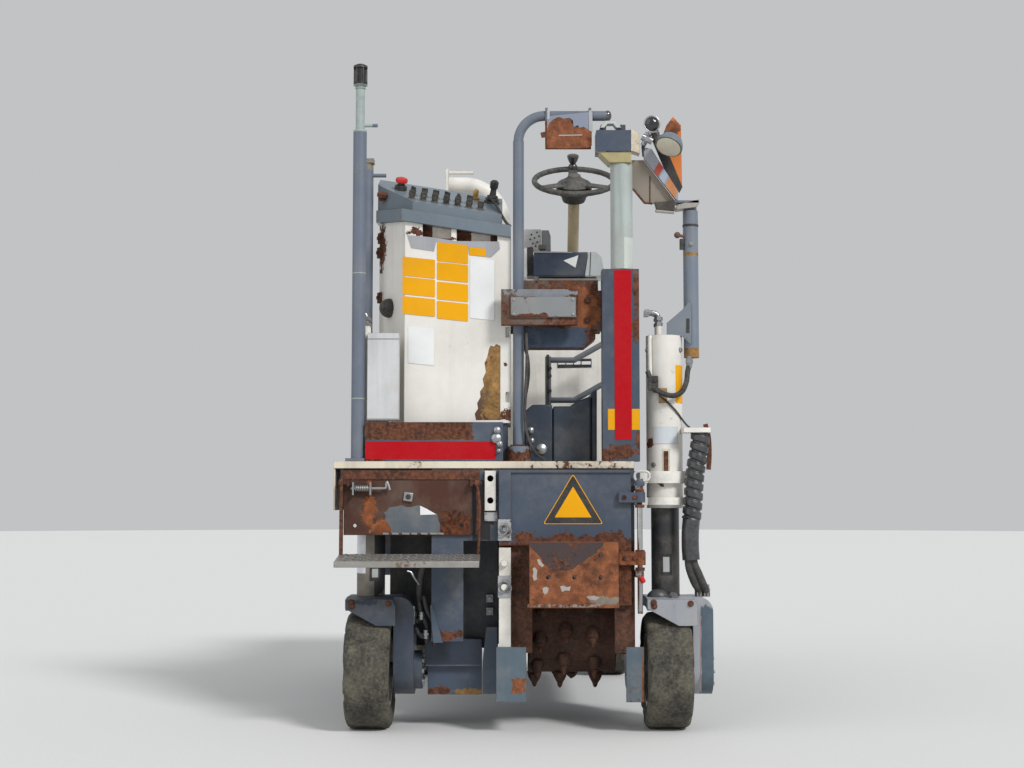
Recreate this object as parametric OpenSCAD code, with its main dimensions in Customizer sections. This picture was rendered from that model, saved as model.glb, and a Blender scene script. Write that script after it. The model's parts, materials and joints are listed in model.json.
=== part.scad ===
// Compact wheeled cold planer: milling drum at the rear right, rear conveyor taken off.
// X runs to the machine's right, Y forward, Z up. Millimetres. The origin lies on the
// ground under the middle of the machine.

/* [Deck and frame] */
// Top face of the operator's deck above the ground
deck_z = 1052; // [1000:1:1080]
// Left edge of the deck, from the origin plane
deck_left = 745; // [735:1:790]
// Right edge of the deck, from the origin plane
deck_right = 435; // [430:1:440]
// Rear edge of the deck, behind the origin plane
deck_rear = 1180; // [1175:1:1200]
// Front face of the counterweight
nose_y = 1400; // [1390:1:1500]
// Thickness of the deck plate
deck_t = 12; // [6:1:20]
// Height of the folded edge round the deck
deck_lip = 28; // [20:1:40]
// Thickness of the frame's side plates
frame_t = 20; // [12:1:25]
// Outer face of the frame's left side plate
frame_left = 360; // [350:1:366]
// Underside of the frame between the axles
belly_z = 350; // [320:5:380]
// Underside of the frame above the front wheels
front_floor_z = 560; // [545:5:600]
// Width of the machine's centre plane off the origin
mid_x = -20; // [-22:1:-18]

/* [Wheels] */
// Diameter of the solid rubber tyres
tyre_d = 457; // [450:1:460]
// Width of the tyres
tyre_w = 178; // [170:1:180]
// Diameter of the rim under the tyre
rim_d = 290; // [280:1:310]
// Distance between the rear wheels' middles
rear_track = 1176; // [1170:1:1180]
// Rear axle ahead of the deck's rear edge
axle_inset = 130; // [125:1:140]
// Front axle ahead of the origin plane
front_axle_y = 850; // [840:1:870]
// Distance between the two kingpins
kingpin_track = 680; // [670:1:690]
// Kingpin to the middle of the front wheel
kingpin_offset = 140; // [136:1:150]
// Diameter of the wheel spindles
spindle_d = 60; // [50:1:64]
// Diameter of the kingpins
kingpin_d = 36; // [30:1:40]
// Length of the steering arms
steer_arm = 150; // [140:1:155]

/* [Lifting columns] */
// Outer diameter of the white column tubes
column_d = 145; // [140:1:150]
// Diameter of the black legs that slide in them
leg_d = 112; // [100:1:116]
// Lower end of the column tubes above the ground
column_z0 = 868; // [860:1:875]
// Top of the column tubes above the ground
column_z1 = 1559; // [1540:1:1580]
// Travel of a leg up into its column
lift = 180; // [150:5:200]
// Thickness of a wheel carrier's side plate
carrier_w = 80; // [70:1:80]

/* [Milling drum] */
// Width of the drum
drum_w = 350; // [330:1:354]
// Diameter of the drum's tube
drum_body_d = 380; // [340:5:390]
// Diameter of the circle that the pick tips cut
drum_tip_d = 500; // [480:2:510]
// Middle of the drum, right of the origin plane
drum_x = 195; // [190:1:200]
// Drum axis ahead of the deck's rear edge
drum_inset = 280; // [275:1:285]
// Drum axis above the ground
drum_z = 390; // [380:1:400]
// Number of picks on the drum
pick_count = 30; // [20:2:36]
// Thickness of the housing's walls
housing_t = 20; // [12:1:22]

/* [Scraper door] */
// Upper edge of the door above the ground
door_top = 1018; // [1005:1:1020]
// Lower edge of the door above the ground
door_bottom = 491; // [485:1:500]
// Thickness of the door plate
door_t = 22; // [16:1:25]
// Width of the bolted discharge flange
flange_w = 340; // [330:1:350]
// Height of the bolted discharge flange
flange_h = 247; // [240:1:250]
// Distance of the flange behind the door
flange_reach = 118; // [100:1:125]
// Spacing of the flange's bolt holes, sideways
flange_pitch_x = 100; // [90:1:110]
// Spacing of the flange's bolt holes, upwards
flange_pitch_z = 84; // [70:1:90]
// Diameter of the flange's bolt holes
flange_hole_d = 13; // [10:0.5:16]
// Diameter of the door's hinge rod
hinge_rod_d = 20; // [16:1:22]

/* [Hood] */
// Height of the engine hood's top above the ground
hood_top = 1600; // [1550:5:1650]
// Thickness of the hood's panels
hood_wall = 30; // [20:1:40]
// Height of the cowl behind the hood
cowl_top = 1750; // [1720:5:1760]

/* [Operator station] */
// Height of the console's body at its rear right corner
console_top = 1953; // [1940:1:1965]
// Slope of the console's cap towards the operator, in degrees
cap_tilt = 4; // [3:1:6]
// Slope of the console's top to the right, in degrees
console_roll = 9; // [8:1:10]
// Slope of the switch box towards the operator, in degrees
switch_tilt = 22; // [20:1:25]
// Height of the switch box at its rear right corner
switch_t = 32; // [28:1:44]
// Diameter of the steering wheel
steer_wheel_d = 390; // [360:5:400]
// Lean of the steering column, in degrees
steer_lean = 30; // [25:1:35]

/* [Posts] */
// Top of the beacon above the ground
beacon_z = 2643; // [2600:1:2700]
// Diameter of the beacon mast
mast_d = 54; // [48:1:55]
// Diameter of the gooseneck post
gooseneck_d = 44; // [38:1:46]
// Middle of the gooseneck's top tube above the ground
gooseneck_z = 2448; // [2400:1:2480]
// Top of the reflective post above the ground
tape_post_z = 1817; // [1790:1:1840]
// Top of the right post above the ground
right_post_z = 2070; // [2040:1:2090]

/* [Step] */
// Top face of the folding step's tread
step_z = 675; // [660:1:690]
// Depth of the tread
step_depth = 191; // [150:1:191]
// Thickness of the tread
step_t = 30; // [20:1:35]

/* [Hidden] */
$fn = 48;
fine = 96;
seat = 0.3;
running = 0.08;
clear = 5;
past = 1;
left = -1;
right = 1;

rear = -deck_rear;
frame_top = deck_z - deck_t;
frame_right = deck_right;
frame_rear = deck_rear - frame_t;
frame_front = nose_y - 70;
rear_axle_y = deck_rear - axle_inset;
drum_y = deck_rear - drum_inset;
wheel_z = tyre_d / 2;
wheel_left_x = mid_x - rear_track / 2;
wheel_right_x = wheel_left_x + rear_track;
front_left_x = mid_x - kingpin_track / 2 - kingpin_offset;
front_right_x = mid_x + kingpin_track / 2 + kingpin_offset;
stub_d = 50;
carrier_gap = 8;
column_y = -rear_axle_y;
leg_z0 = 520;
leg_z1 = column_z1 - 20 - lift - 19;
door_hinge = [453, rear - 35];
door_left = 96;
door_right = 420;
door_y1 = rear - clear;
door_y0 = door_y1 - door_t;
door_mid = 192;
step_axis = [rear - 35, deck_z - 87];
panel_z = [deck_z - 289, deck_z - 75];
step_straps = [[-720, -692], [-195, -167]];
step_lugs = [step_straps[0][1] + 3, step_straps[1][0] - 13];
pivot_d = 16;
lashing_z = [898, 984];
lashing_d = 24;
flange_y = door_y0 - flange_reach;
hood_y0 = 60;
hood_x = [-600, 425];
hood_z0 = deck_z + clear;
hood_hinge = [frame_front + 20, deck_z - 6];
hood_lugs = [-440, 265];
cowl_y = [-150, hood_y0 - clear - 5];
wheel_hub = [240, -280, 2357];
post_y = column_y;
right_post_x = 680;
tape_post_x = [313, 460];
tape_post_y = [rear + 15, rear + 100];
galv_x = 395;
mast_x = -655;
mast_y = rear + 30;
gooseneck_x = -19;
gooseneck_y = rear + 65;
console_right = -50;
console_y = rear + 80;
console_front = rear + 460;
console_z0 = 1206;
cap_h = 50;

// A block between two corners, given as its X, Y and Z spans
module span(x, y, z) {
    translate([x[0], y[0], z[0]]) cube([x[1] - x[0], y[1] - y[0], z[1] - z[0]]);
}
// A round bar along X, Y or Z
module bar_x(x, y, z, d) translate([x[0], y, z]) rotate([0, 90, 0]) cylinder(h = x[1] - x[0], d = d);
module bar_y(x, y, z, d) translate([x, y[1], z]) rotate([90, 0, 0]) cylinder(h = y[1] - y[0], d = d);
module bar_z(x, y, z, d) translate([x, y, z[0]]) cylinder(h = z[1] - z[0], d = d);
// A flat outline in the YZ plane, given a thickness along X
module slab_x(x) translate([x[0], 0, 0]) rotate([90, 0, 90]) linear_extrude(x[1] - x[0]) children();
// A flat outline in the XZ plane, given a thickness along Y
module slab_y(y) translate([0, y[1], 0]) rotate([90, 0, 0]) linear_extrude(y[1] - y[0]) children();

// A hose swept along a list of points, with flat rings square to its path
function unit(v) = v / norm(v);
function hose_dir(p, i) = unit(i == 0 ? p[1] - p[0] : i == len(p) - 1 ? p[i] - p[i - 1]
    : unit(p[i + 1] - p[i]) + unit(p[i] - p[i - 1]));
function hose_ring(p, i, r, n) = let (w = hose_dir(p, i), u = unit(cross(w, [0, 1, 0.02])), v = cross(w, u))
    [for (k = [0:n - 1]) p[i] + r * (cos(360 * k / n) * u + sin(360 * k / n) * v)];
module hose(p, d, n = 12) {
    rings = len(p);
    polyhedron([for (i = [0:rings - 1]) each hose_ring(p, i, d / 2, n)],
        [[for (k = [0:n - 1]) k], for (i = [0:rings - 2], k = [0:n - 1])
            [i * n + k, (i + 1) * n + k, (i + 1) * n + (k + 1) % n, i * n + (k + 1) % n],
            [for (k = [n - 1:-1:0]) (rings - 1) * n + k]], convexity = 6);
}

// The two long side plates, high over the front wheels
module frame_side(x, low) {
    slab_x(x) polygon([[-frame_rear, low], [front_axle_y - 350, low], [front_axle_y - 330, front_floor_z],
        [frame_front, front_floor_z], [frame_front, frame_top], [-frame_rear, frame_top]]);
}

// A clamp that holds a column tube to the frame
module column_clamp(x, inner, z) {
    ring_d = column_d + 46;
    difference() {
        union() {
            bar_z(x, column_y, z, ring_d);
            span([min(x, inner), max(x, inner)], [column_y - 60, column_y + 60], z);
        }
        bar_z(x, column_y, [z[0] - past, z[1] + past], column_d + 2 * seat);
    }
}

module chassis_frame() color("slategray") {
    axle_mount = 170;
    upper = [frame_top - 60, frame_top];
    lower = [column_z0 + 12, column_z0 + 42];
    inner_x = [-frame_left + frame_t, frame_right - frame_t];
    bulkhead = drum_y - 300;
    shelf = front_axle_y - 350;
    beam_right = -165;
    beam_z = 244;
    difference() {
        union() {
            frame_side([-frame_left, -frame_left + frame_t], belly_z);
            frame_side([frame_right - frame_t, frame_right], 300);
            // Belly and the raised floor over the front wheels
            span(inner_x, [-bulkhead, shelf], [belly_z, belly_z + 12]);
            span([-frame_left, frame_right], [shelf, frame_front], [front_floor_z, front_floor_z + 12]);
            // Cross plates
            span(inner_x, [-bulkhead, -bulkhead + frame_t], [belly_z, frame_top]);
            span(inner_x, [shelf - 20, shelf], [belly_z, front_floor_z + 12]);
            span(inner_x, [frame_front - frame_t, frame_front], [front_floor_z, frame_top]);
            span([-frame_left, frame_right], [rear, -frame_rear], [740, frame_top]);
            // Folded edge of the left side plate, seen between the wheel and the drum
            span([-frame_left, -frame_left + 125], [rear, -frame_rear], [belly_z, 740]);
            // Cross beam behind the left wheel's motor
            span([-frame_left - 30, beam_right], [column_y - 30, column_y + 50], [beam_z, belly_z]);
            span([-frame_left - 20, beam_right], [column_y, column_y + 10], [130, beam_z]);
            // Carrier for the front axle
            span([mid_x - axle_mount, mid_x + axle_mount], [front_axle_y - 70, front_axle_y + 70],
                [285, front_floor_z]);
            // Clamps for the two lifting columns, and the outrigger to the left one
            span([wheel_left_x - 115, -frame_left], [-frame_rear, -frame_rear + 36], upper);
            span([-frame_left - 200, -frame_left], [-frame_rear + 36 - past, column_y - 60], upper);
            for (z = [upper, lower]) column_clamp(wheel_left_x, -frame_left, z);
            for (z = [[966, 1014], lower]) column_clamp(wheel_right_x, frame_right, z);
        }
        // The lashing holes go through the rear cross plate
        for (z = lashing_z) bar_y(-130, [rear - past, -frame_rear + past], z, lashing_d);
    }
}

module lashing_plate() color("white") {
    difference() {
        span([-152, -108], [rear - 15, rear], [858, 1015]);
        for (z = lashing_z) bar_y(-130, [rear - 16, rear + past], z, lashing_d);
    }
}

module deck_plate() color("ivory") {
    edge = 6;
    hole_x = [-frame_left + frame_t + 10, frame_right - frame_t - 10];
    difference() {
        union() {
            span([-deck_left, deck_right], [rear, frame_front - 10], [deck_z - deck_t, deck_z]);
            // Folded edges
            span([-deck_left, deck_right], [rear - edge, rear], [deck_z - deck_lip, deck_z]);
            span([-deck_left, -deck_left + edge], [rear, frame_front - 10], [deck_z - 110, deck_z]);
            slab_x([-deck_left, -deck_left + edge]) difference() {
                translate([rear, deck_z - 192]) square([400, 100]);
                translate([rear + 400, deck_z - 192]) circle(r = 90);
            }
        }
        // The engine and the left column pass through
        span(hole_x, [hood_y0 + 60, frame_front - 40], [deck_z - deck_t - past, deck_z + past]);
        bar_z(wheel_left_x, column_y, [deck_z - deck_t - past, deck_z + past], column_d + 2 * seat);
    }
}

module rear_left_panel() color("saddlebrown") {
    panel = [rear - 12, rear];
    difference() {
        union() {
            span([-704, -202], panel, panel_z);
            // Rib that carries the panel from the outrigger
            span([-690, -678], [rear, -frame_rear + 20], [panel_z[0], frame_top - 60]);
            // Lugs and pins that carry the step
            for (x = step_lugs) {
                span([x, x + 10], [step_axis[0] - 12, panel[0] + past], [step_axis[1] - 12, step_axis[1] + 12]);
                bar_x([x, x + 10], step_axis[0], step_axis[1], 24);
            }
            for (i = [0, 1])
                bar_x([min(step_lugs[i], step_straps[i][0] - 4), max(step_lugs[i] + 10, step_straps[i][1] + 4)],
                    step_axis[0], step_axis[1], pivot_d);
        }
        // Punched holes round the worn spot
        for (x = [-660, -240]) bar_y(x, [rear - 20, rear + past], 800, 14);
    }
}

module hydraulic_tank() color("dimgray") {
    tank_x = [-deck_left + 45, -frame_left];
    difference() {
        slab_x(tank_x) polygon([[-650, 620], [-610, 580], [440, 580], [470, 620], [470, frame_top],
            [-650, frame_top]]);
        span([tank_x[0] - past, tank_x[0] + 8], [-560, 380], [660, 960]);
    }
}

// The housing's side outline over the drum, cut off below and behind
module housing_outline(r, end_y, low) {
    difference() {
        union() {
            translate([-drum_y, drum_z]) circle(r = r, $fn = fine);
            translate([-drum_y - r, low]) square([2 * r, drum_z - low]);
            translate([end_y, low]) square([-drum_y - end_y, drum_z + r - low]);
        }
        translate([-drum_y - 2 * r, drum_z - 2 * r]) square([4 * r, low - drum_z + 2 * r]);
        translate([end_y - 2 * r, drum_z - 2 * r]) square([2 * r, 4 * r]);
    }
}

module drum_housing() color("slategray") {
    outer = 300;
    inner = outer - housing_t;
    low = 300;
    end_y = -frame_rear - past;
    side = (drum_w + 20) / 2;
    left_wall = [drum_x - side - 25, drum_x - side];
    right_wall = [drum_x + side, frame_right - frame_t];
    difference() {
        union() {
            slab_x(left_wall) housing_outline(outer, end_y, low);
            slab_x(right_wall) housing_outline(outer, end_y, low);
            difference() {
                slab_x([left_wall[1], right_wall[0]]) housing_outline(outer, end_y, low);
                slab_x([left_wall[1] - past, right_wall[0] + past])
                    housing_outline(inner, end_y - past, low - past);
            }
            // Rear cheeks
            for (x = [[-door_left, 34], [356, frame_right]]) span(x, [rear, -frame_rear], [306, 740]);
        }
        bar_x([left_wall[0] - past, left_wall[1] + past], -drum_y, drum_z, 100 + 2 * seat);
    }
}

module drum_drive() color("black") {
    wall = drum_x - drum_w / 2 - 10;
    union() {
        bar_x([wall, drum_x + drum_w / 2 + 10], -drum_y, drum_z, 100);
        bar_x([wall - 25 - past, wall + past], -drum_y, drum_z, 100);
        bar_x([wall - 45, wall - 25], -drum_y, drum_z, 190);
        bar_x([wall - 150, wall - 45 + past], -drum_y, drum_z, 150);
    }
}

// One pick in its holder, standing on the drum at the angle a
module pick(x, a) {
    root = drum_body_d / 2;
    lean = 40;
    socket_d = 44;
    translate([x, -drum_y, drum_z]) rotate([a, 0, 0]) {
        translate([-15, -30, root - 12]) cube([30, 50, 32]);
        translate([0, 10, root + 4]) rotate([lean, 0, 0]) {
            cylinder(h = 34, d = socket_d, $fn = 16);
            translate([0, 0, 33]) cylinder(h = (drum_tip_d - drum_body_d) / 2 - 24, d1 = 28, d2 = 7, $fn = 16);
        }
    }
}

module milling_drum() color("sienna") {
    span_x = drum_w - 52;
    difference() {
        union() {
            bar_x([drum_x - drum_w / 2, drum_x + drum_w / 2], -drum_y, drum_z, drum_body_d, $fn = fine);
            // Two scrolls of picks, from each end to the middle
            for (i = [0:pick_count - 1]) {
                away = abs(i - (pick_count - 1) / 2);
                scroll = i < pick_count / 2 ? 0 : 180;
                pick(drum_x - span_x / 2 + i * span_x / (pick_count - 1), scroll + away * 37);
            }
        }
        bar_x([drum_x - drum_w / 2 - past, drum_x + drum_w / 2 + past], -drum_y, drum_z, 100 + 2 * running);
    }
}

// A skid plate beside the drum, with its rear flange
module side_plate(x, flange) {
    skid_r = 80;
    toes = [rear + 40, rear + 500];
    union() {
        slab_x(x) difference() {
            union() {
                translate([rear - 40, skid_r + 112]) square([620, 112]);
                translate([toes[0], 112]) square([toes[1] - toes[0], skid_r]);
                for (y = toes) translate([y, skid_r + 112]) circle(r = skid_r);
            }
            translate([-drum_y, drum_z]) circle(r = 110);
        }
        span(flange, [rear - 52, rear - 40], [123, 333]);
    }
}

module side_plates() color("gray") {
    side_plate([-31, -15], [-106, 10]);
    side_plate([frame_right, frame_right + 16], [396, 465]);
}

module scraper_door() color("slategray") {
    flange_x = [door_mid - flange_w / 2, door_mid + flange_w / 2];
    flange_z = [door_bottom, door_bottom + flange_h];
    arms = [[648, 700], [890, 930]];
    holes_z = door_bottom + 114;
    difference() {
        union() {
            span([-door_left, door_right], [door_y0, door_y1], [723, door_top]);
            span([20, door_right], [door_y0, door_y1], [door_bottom, 723 + past]);
            // Folded rim
            span([-door_left, -door_left + 47], [door_y0 - 8, door_y0], [723, door_top]);
            span([-door_left, door_right], [door_y0 - 8, door_y0], [door_top - 12, door_top]);
            // Discharge box and its bolted flange
            span(flange_x, [flange_y, flange_y + 12], flange_z);
            for (x = [flange_x[0], flange_x[1] - 10]) span([x, x + 10], [flange_y, door_y0], flange_z);
            span(flange_x, [flange_y, door_y0], [flange_z[1] - 10, flange_z[1]]);
            span(flange_x, [flange_y - 25, flange_y + 12], [door_bottom, door_bottom + 12]);
            for (z = arms) {
                span([370, door_hinge[0]], [door_hinge[1] - 16, door_y0 + past], z);
                bar_z(door_hinge[0], door_hinge[1], z, hinge_rod_d + 24);
            }
        }
        for (i = [-1:1], k = [0:1])
            bar_y(door_mid + i * flange_pitch_x, [flange_y - past, flange_y + 13], holes_z + k * flange_pitch_z,
                flange_hole_d);
        for (z = arms)
            bar_z(door_hinge[0], door_hinge[1], [z[0] - past, z[1] + past], hinge_rod_d + 2 * running);
    }
}

module door_hinge_rod() color("silver") {
    union() {
        bar_z(door_hinge[0], door_hinge[1], [460, 962], hinge_rod_d);
        for (z = [[936, 956], [600, 625]]) {
            span([frame_right, door_hinge[0] + 14], [door_hinge[1] - 12, -frame_rear - 30], z);
            span([frame_right, door_hinge[0] + 14], [-frame_rear - 30, -frame_rear + 60], z);
        }
    }
}

module latch_bar() color("white") {
    union() {
        span([-door_left, -49], [rear - 30, rear], [330, 715]);
        for (z = [562, 655]) bar_y(-75, [rear - 48, rear - 30], z, 26);
    }
}

// Hoses to the wheel motors, which shorten as the legs slide up; Y is counted from the columns
hose_left_route = [[-360, -50, 650], [-376, -50, 650], [-392, -50, 638], [-404, -50, 605],
    [-410, -50, 550], [-409, -50, 500], [-405, -50, 466], [-404, -50, 446], [-408, -50, 432],
    [-418, -50, 426], [-431, -50, 426]];
bundle_route = [[700, -95, 1165], [700, -95, 1135], [694, -95, 1090], [682, -95, 1030],
    [674, -95, 960], [670, -95, 900], [664, -95, 840], [658, -95, 780], [657, -95, 720],
    [660, -95, 665]];
motor_hose_routes = [
    [[650, -95, 690], [650, -94, 650], [658, -90, 615], [675, -78, 575], [692, -60, 548],
        [694, -55, 532], [694, -55, 520]],
    [[668, -95, 690], [672, -94, 650], [690, -88, 610], [708, -76, 570], [720, -60, 546],
        [722, -55, 532], [722, -55, 520]]];
hose_d = 26;
bundle_d = 76;
module hoses_left() color("black") translate([0, column_y, 0]) hose(hose_left_route, hose_d);
module hoses_right() color("black") translate([0, column_y, 0]) union() {
    hose(bundle_route, bundle_d, 16);
    for (route = motor_hose_routes) hose(route, hose_d);
}

// A lifting column: tube, closed top and two hydraulic fittings
module column(x) {
    difference() {
        union() {
            bar_z(x, column_y, [column_z0, column_z1], column_d);
            for (dy = [-22, 22]) bar_z(x - 22, column_y + dy, [column_z1 - past, column_z1 + 50], 26);
        }
        bar_z(x, column_y, [column_z0 - past, column_z1 - 20], leg_d + 2 * seat);
    }
}

module column_left() color("white") column(wheel_left_x);
module column_right() color("white") union() {
    column(wheel_right_x);
    // Bracket that holds the hose bundle
    span([wheel_right_x + 62, 738], [rear - 3, column_y - 30], [1165, 1185]);
}

// The leg that slides in a column
module leg(x) {
    difference() {
        bar_z(x, column_y, [leg_z0, leg_z1], leg_d);
        bar_z(x, column_y, [leg_z0 + 20, leg_z1 + past], leg_d - 36);
    }
}

module leg_left() color("black") leg(wheel_left_x);
module leg_right() color("black") leg(wheel_right_x);

// The carrier beside and above a rear wheel, with its spindle
module carrier(x) {
    side = [x + tyre_w / 2 + carrier_gap, x + tyre_w / 2 + carrier_gap + carrier_w];
    reach = 144;
    low = 412;
    shoulder = 58;
    union() {
        // Side plate round the wheel motor, its outer shoulder rounded
        intersection() {
            slab_x(side) union() {
                translate([column_y, wheel_z]) circle(d = 190);
                translate([column_y - 95, wheel_z]) square([190, leg_z0 - wheel_z]);
            }
            slab_y([column_y - 200, column_y + 200]) union() {
                translate([side[0] - past, 0]) square([carrier_w + 2 * past, leg_z0 - shoulder]);
                translate([side[0] - past, 0]) square([carrier_w + past - shoulder, leg_z0]);
                translate([side[1] - shoulder, leg_z0 - shoulder]) circle(r = shoulder);
            }
        }
        // Cover over the tyre, with a slanted apron behind it
        slab_x([x - tyre_w / 2 + 3, side[0] + past]) polygon([[column_y - reach, 470], [column_y - reach, 514],
            [column_y - 80, leg_z0], [column_y + 80, leg_z0], [column_y + reach, 480], [column_y + reach, 470],
            [column_y + 60, 480], [column_y - 60, 480]]);
        slab_y([column_y - reach - 10, column_y - reach + past]) polygon([[x - tyre_w / 2 + 3, 478],
            [x + 35, low], [side[0] + 12, low], [side[0] + 12, 490], [side[0], 514], [x - tyre_w / 2 + 3, 514]]);
        bar_x([x - tyre_w / 2 + 10, side[0] + past], column_y, wheel_z, spindle_d);
    }
}

module carrier_left() color("darkslategray") union() {
    carrier(wheel_left_x);
    bar_x([wheel_left_x + tyre_w / 2 + carrier_gap + carrier_w - past, -400], column_y, wheel_z, 150);
}
module carrier_right() color("gainsboro") carrier(wheel_right_x);

// A solid tyre, round X
module tyre(x, y) {
    shoulder = 8;
    half = tyre_w / 2;
    outer = tyre_d / 2;
    translate([x, y, wheel_z]) rotate([0, 90, 0]) rotate_extrude($fn = fine) polygon([[rim_d / 2, -half + 8],
        [outer - 40, -half], [outer - shoulder, -half], [outer, -half + shoulder], [outer, half - shoulder],
        [outer - shoulder, half], [outer - 40, half], [rim_d / 2, half - 8]]);
}

// A rim with its disc towards the side given, round X
module rim(x, y, side, bore) {
    half = tyre_w / 2 - 10;
    translate([x, y, wheel_z]) rotate([0, 90 * side, 0]) difference() {
        rotate_extrude($fn = fine) polygon([[bore / 2, half - 60], [rim_d / 2 - 20, half - 60], [rim_d / 2 - 20, -half],
            [rim_d / 2 - seat, -half], [rim_d / 2 - seat, half], [rim_d / 2 - 20, half], [rim_d / 2 - 30, half - 40],
            [bore / 2 + 30, half - 40], [bore / 2 + 26, half - 12], [bore / 2, half - 12]]);
        for (i = [0:4]) rotate(i * 72) translate([bore / 2 + 52, 0, half - 61]) cylinder(h = 30, d = 16);
    }
}

module tyre_rear_left() color("dimgray") tyre(wheel_left_x, -rear_axle_y);
module rim_rear_left() color("white") rim(wheel_left_x, -rear_axle_y, left, spindle_d + 2 * running);
module tyre_rear_right() color("dimgray") tyre(wheel_right_x, -rear_axle_y);
module rim_rear_right() color("white") rim(wheel_right_x, -rear_axle_y, left, spindle_d + 2 * running);
module tyre_front_left() color("dimgray") tyre(front_left_x, front_axle_y);
module rim_front_left() color("white") rim(front_left_x, front_axle_y, left, stub_d + 2 * running);
module tyre_front_right() color("dimgray") tyre(front_right_x, front_axle_y);
module rim_front_right() color("white") rim(front_right_x, front_axle_y, right, stub_d + 2 * running);

module front_axle() color("dimgray") {
    eye_d = 76;
    beam = [185, 285];
    union() {
        span([mid_x - kingpin_track / 2, mid_x + kingpin_track / 2], [front_axle_y - 34, front_axle_y + 34], beam);
        for (side = [left, right]) {
            bar_z(mid_x + side * kingpin_track / 2, front_axle_y, beam, eye_d);
            bar_z(mid_x + side * kingpin_track / 2, front_axle_y, [146, 324], kingpin_d);
        }
    }
}

// A knuckle on the side given: two lugs round the kingpin, web, stub and steering arm
module knuckle(side) {
    x = mid_x + side * kingpin_track / 2;
    y = front_axle_y;
    lugs = [[150, 180], [290, 320]];
    difference() {
        union() {
            for (z = lugs) {
                bar_z(x, y, z, 72);
                span([min(x, x + side * 60), max(x, x + side * 60)], [y - 36, y + 36], z);
            }
            span([min(x + side * 44, x + side * 64), max(x + side * 44, x + side * 64)], [y - 36, y + 36], [150, 320]);
            bar_x([min(x + side * 60, x + side * 208), max(x + side * 60, x + side * 208)], y, wheel_z, stub_d);
            span([x - 16, x + 16], [y - steer_arm, y - 20], lugs[0]);
            bar_z(x, y - steer_arm, lugs[0], 44);
            bar_z(x, y - steer_arm, [lugs[0][1] - past, 216], pivot_d);
        }
        bar_z(x, y, [149, 321], kingpin_d + 2 * running);
    }
}

module knuckle_left() color("gray") knuckle(left);
module knuckle_right() color("gray") knuckle(right);

module tie_rod() color("dimgray") {
    y = front_axle_y - steer_arm;
    z = [186, 210];
    ends = [mid_x - kingpin_track / 2, mid_x + kingpin_track / 2];
    difference() {
        union() {
            bar_x(ends, y, (z[0] + z[1]) / 2, 22);
            for (x = ends) bar_z(x, y, z, 40);
        }
        for (x = ends) bar_z(x, y, [z[0] - past, z[1] + past], pivot_d + 2 * running);
    }
}

// Section of the hood across the machine, shrunk by an inset
module hood_section(inset) {
    corner = 90;
    foot = hood_z0 - (inset > 0 ? past : 0);
    polygon([[hood_x[0] + inset, foot], [hood_x[1] - inset, foot],
        [hood_x[1] - inset, hood_top - corner], [hood_x[1] - corner, hood_top - inset],
        [hood_x[0] + corner, hood_top - inset], [hood_x[0] + inset, hood_top - corner]]);
}

module engine_hood() color("ivory") {
    slats = 7;
    pitch = 50;
    union() {
        difference() {
            slab_y([hood_y0, frame_front]) hood_section(0);
            slab_y([hood_y0 + hood_wall, frame_front - hood_wall]) hood_section(hood_wall);
            // Louvres in the front and in both sides
            for (i = [0:slats - 1]) {
                span([-430, 260], [frame_front - hood_wall - past, frame_front + past],
                    [1150 + i * pitch, 1150 + i * pitch + 24]);
                span([hood_x[0] - past, hood_x[1] + past], [760, 1180], [1150 + i * pitch, 1150 + i * pitch + 24]);
            }
        }
        // Hinge lugs on the foot of the front wall
        for (x = hood_lugs) difference() {
            union() {
                span([x - 15, x + 15], [frame_front - past, hood_hinge[0] + 13], [hood_hinge[1], hood_z0 + 60]);
                bar_x([x - 15, x + 15], hood_hinge[0], hood_hinge[1], 26);
            }
            bar_x([x - 16, x + 16], hood_hinge[0], hood_hinge[1], pivot_d + 2 * running);
        }
    }
}

module cowl() color("ivory") {
    difference() {
        union() {
            span([-560, 400], cowl_y, [deck_z, cowl_top]);
            // Support of the dashboard
            slab_y([-150, -20]) polygon([[60, cowl_top - past], [370, cowl_top - past], [350, 1928], [80, 1928]]);
        }
        span([-530, 370], [cowl_y[0] + 30, cowl_y[1] + past], [deck_z - past, cowl_top - 30]);
    }
}

module engine_block() color("dimgray") {
    union() {
        span([mid_x - 190, mid_x + 190], [front_axle_y - 340, front_axle_y + 160], [front_floor_z + 12, 1300]);
        span([mid_x - 130, mid_x + 130], [front_axle_y - 300, front_axle_y + 120], [1300 - past, 1420]);
    }
}

module radiator() color("black") {
    difference() {
        span([-320, 300], [front_axle_y + 240, front_axle_y + 320], [front_floor_z + 12, 1500]);
        for (s = [0, 1]) span([-290, 270], [front_axle_y + 240 - past + s * 70, front_axle_y + 251 + s * 70],
            [front_floor_z + 60, 1470]);
    }
}

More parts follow.
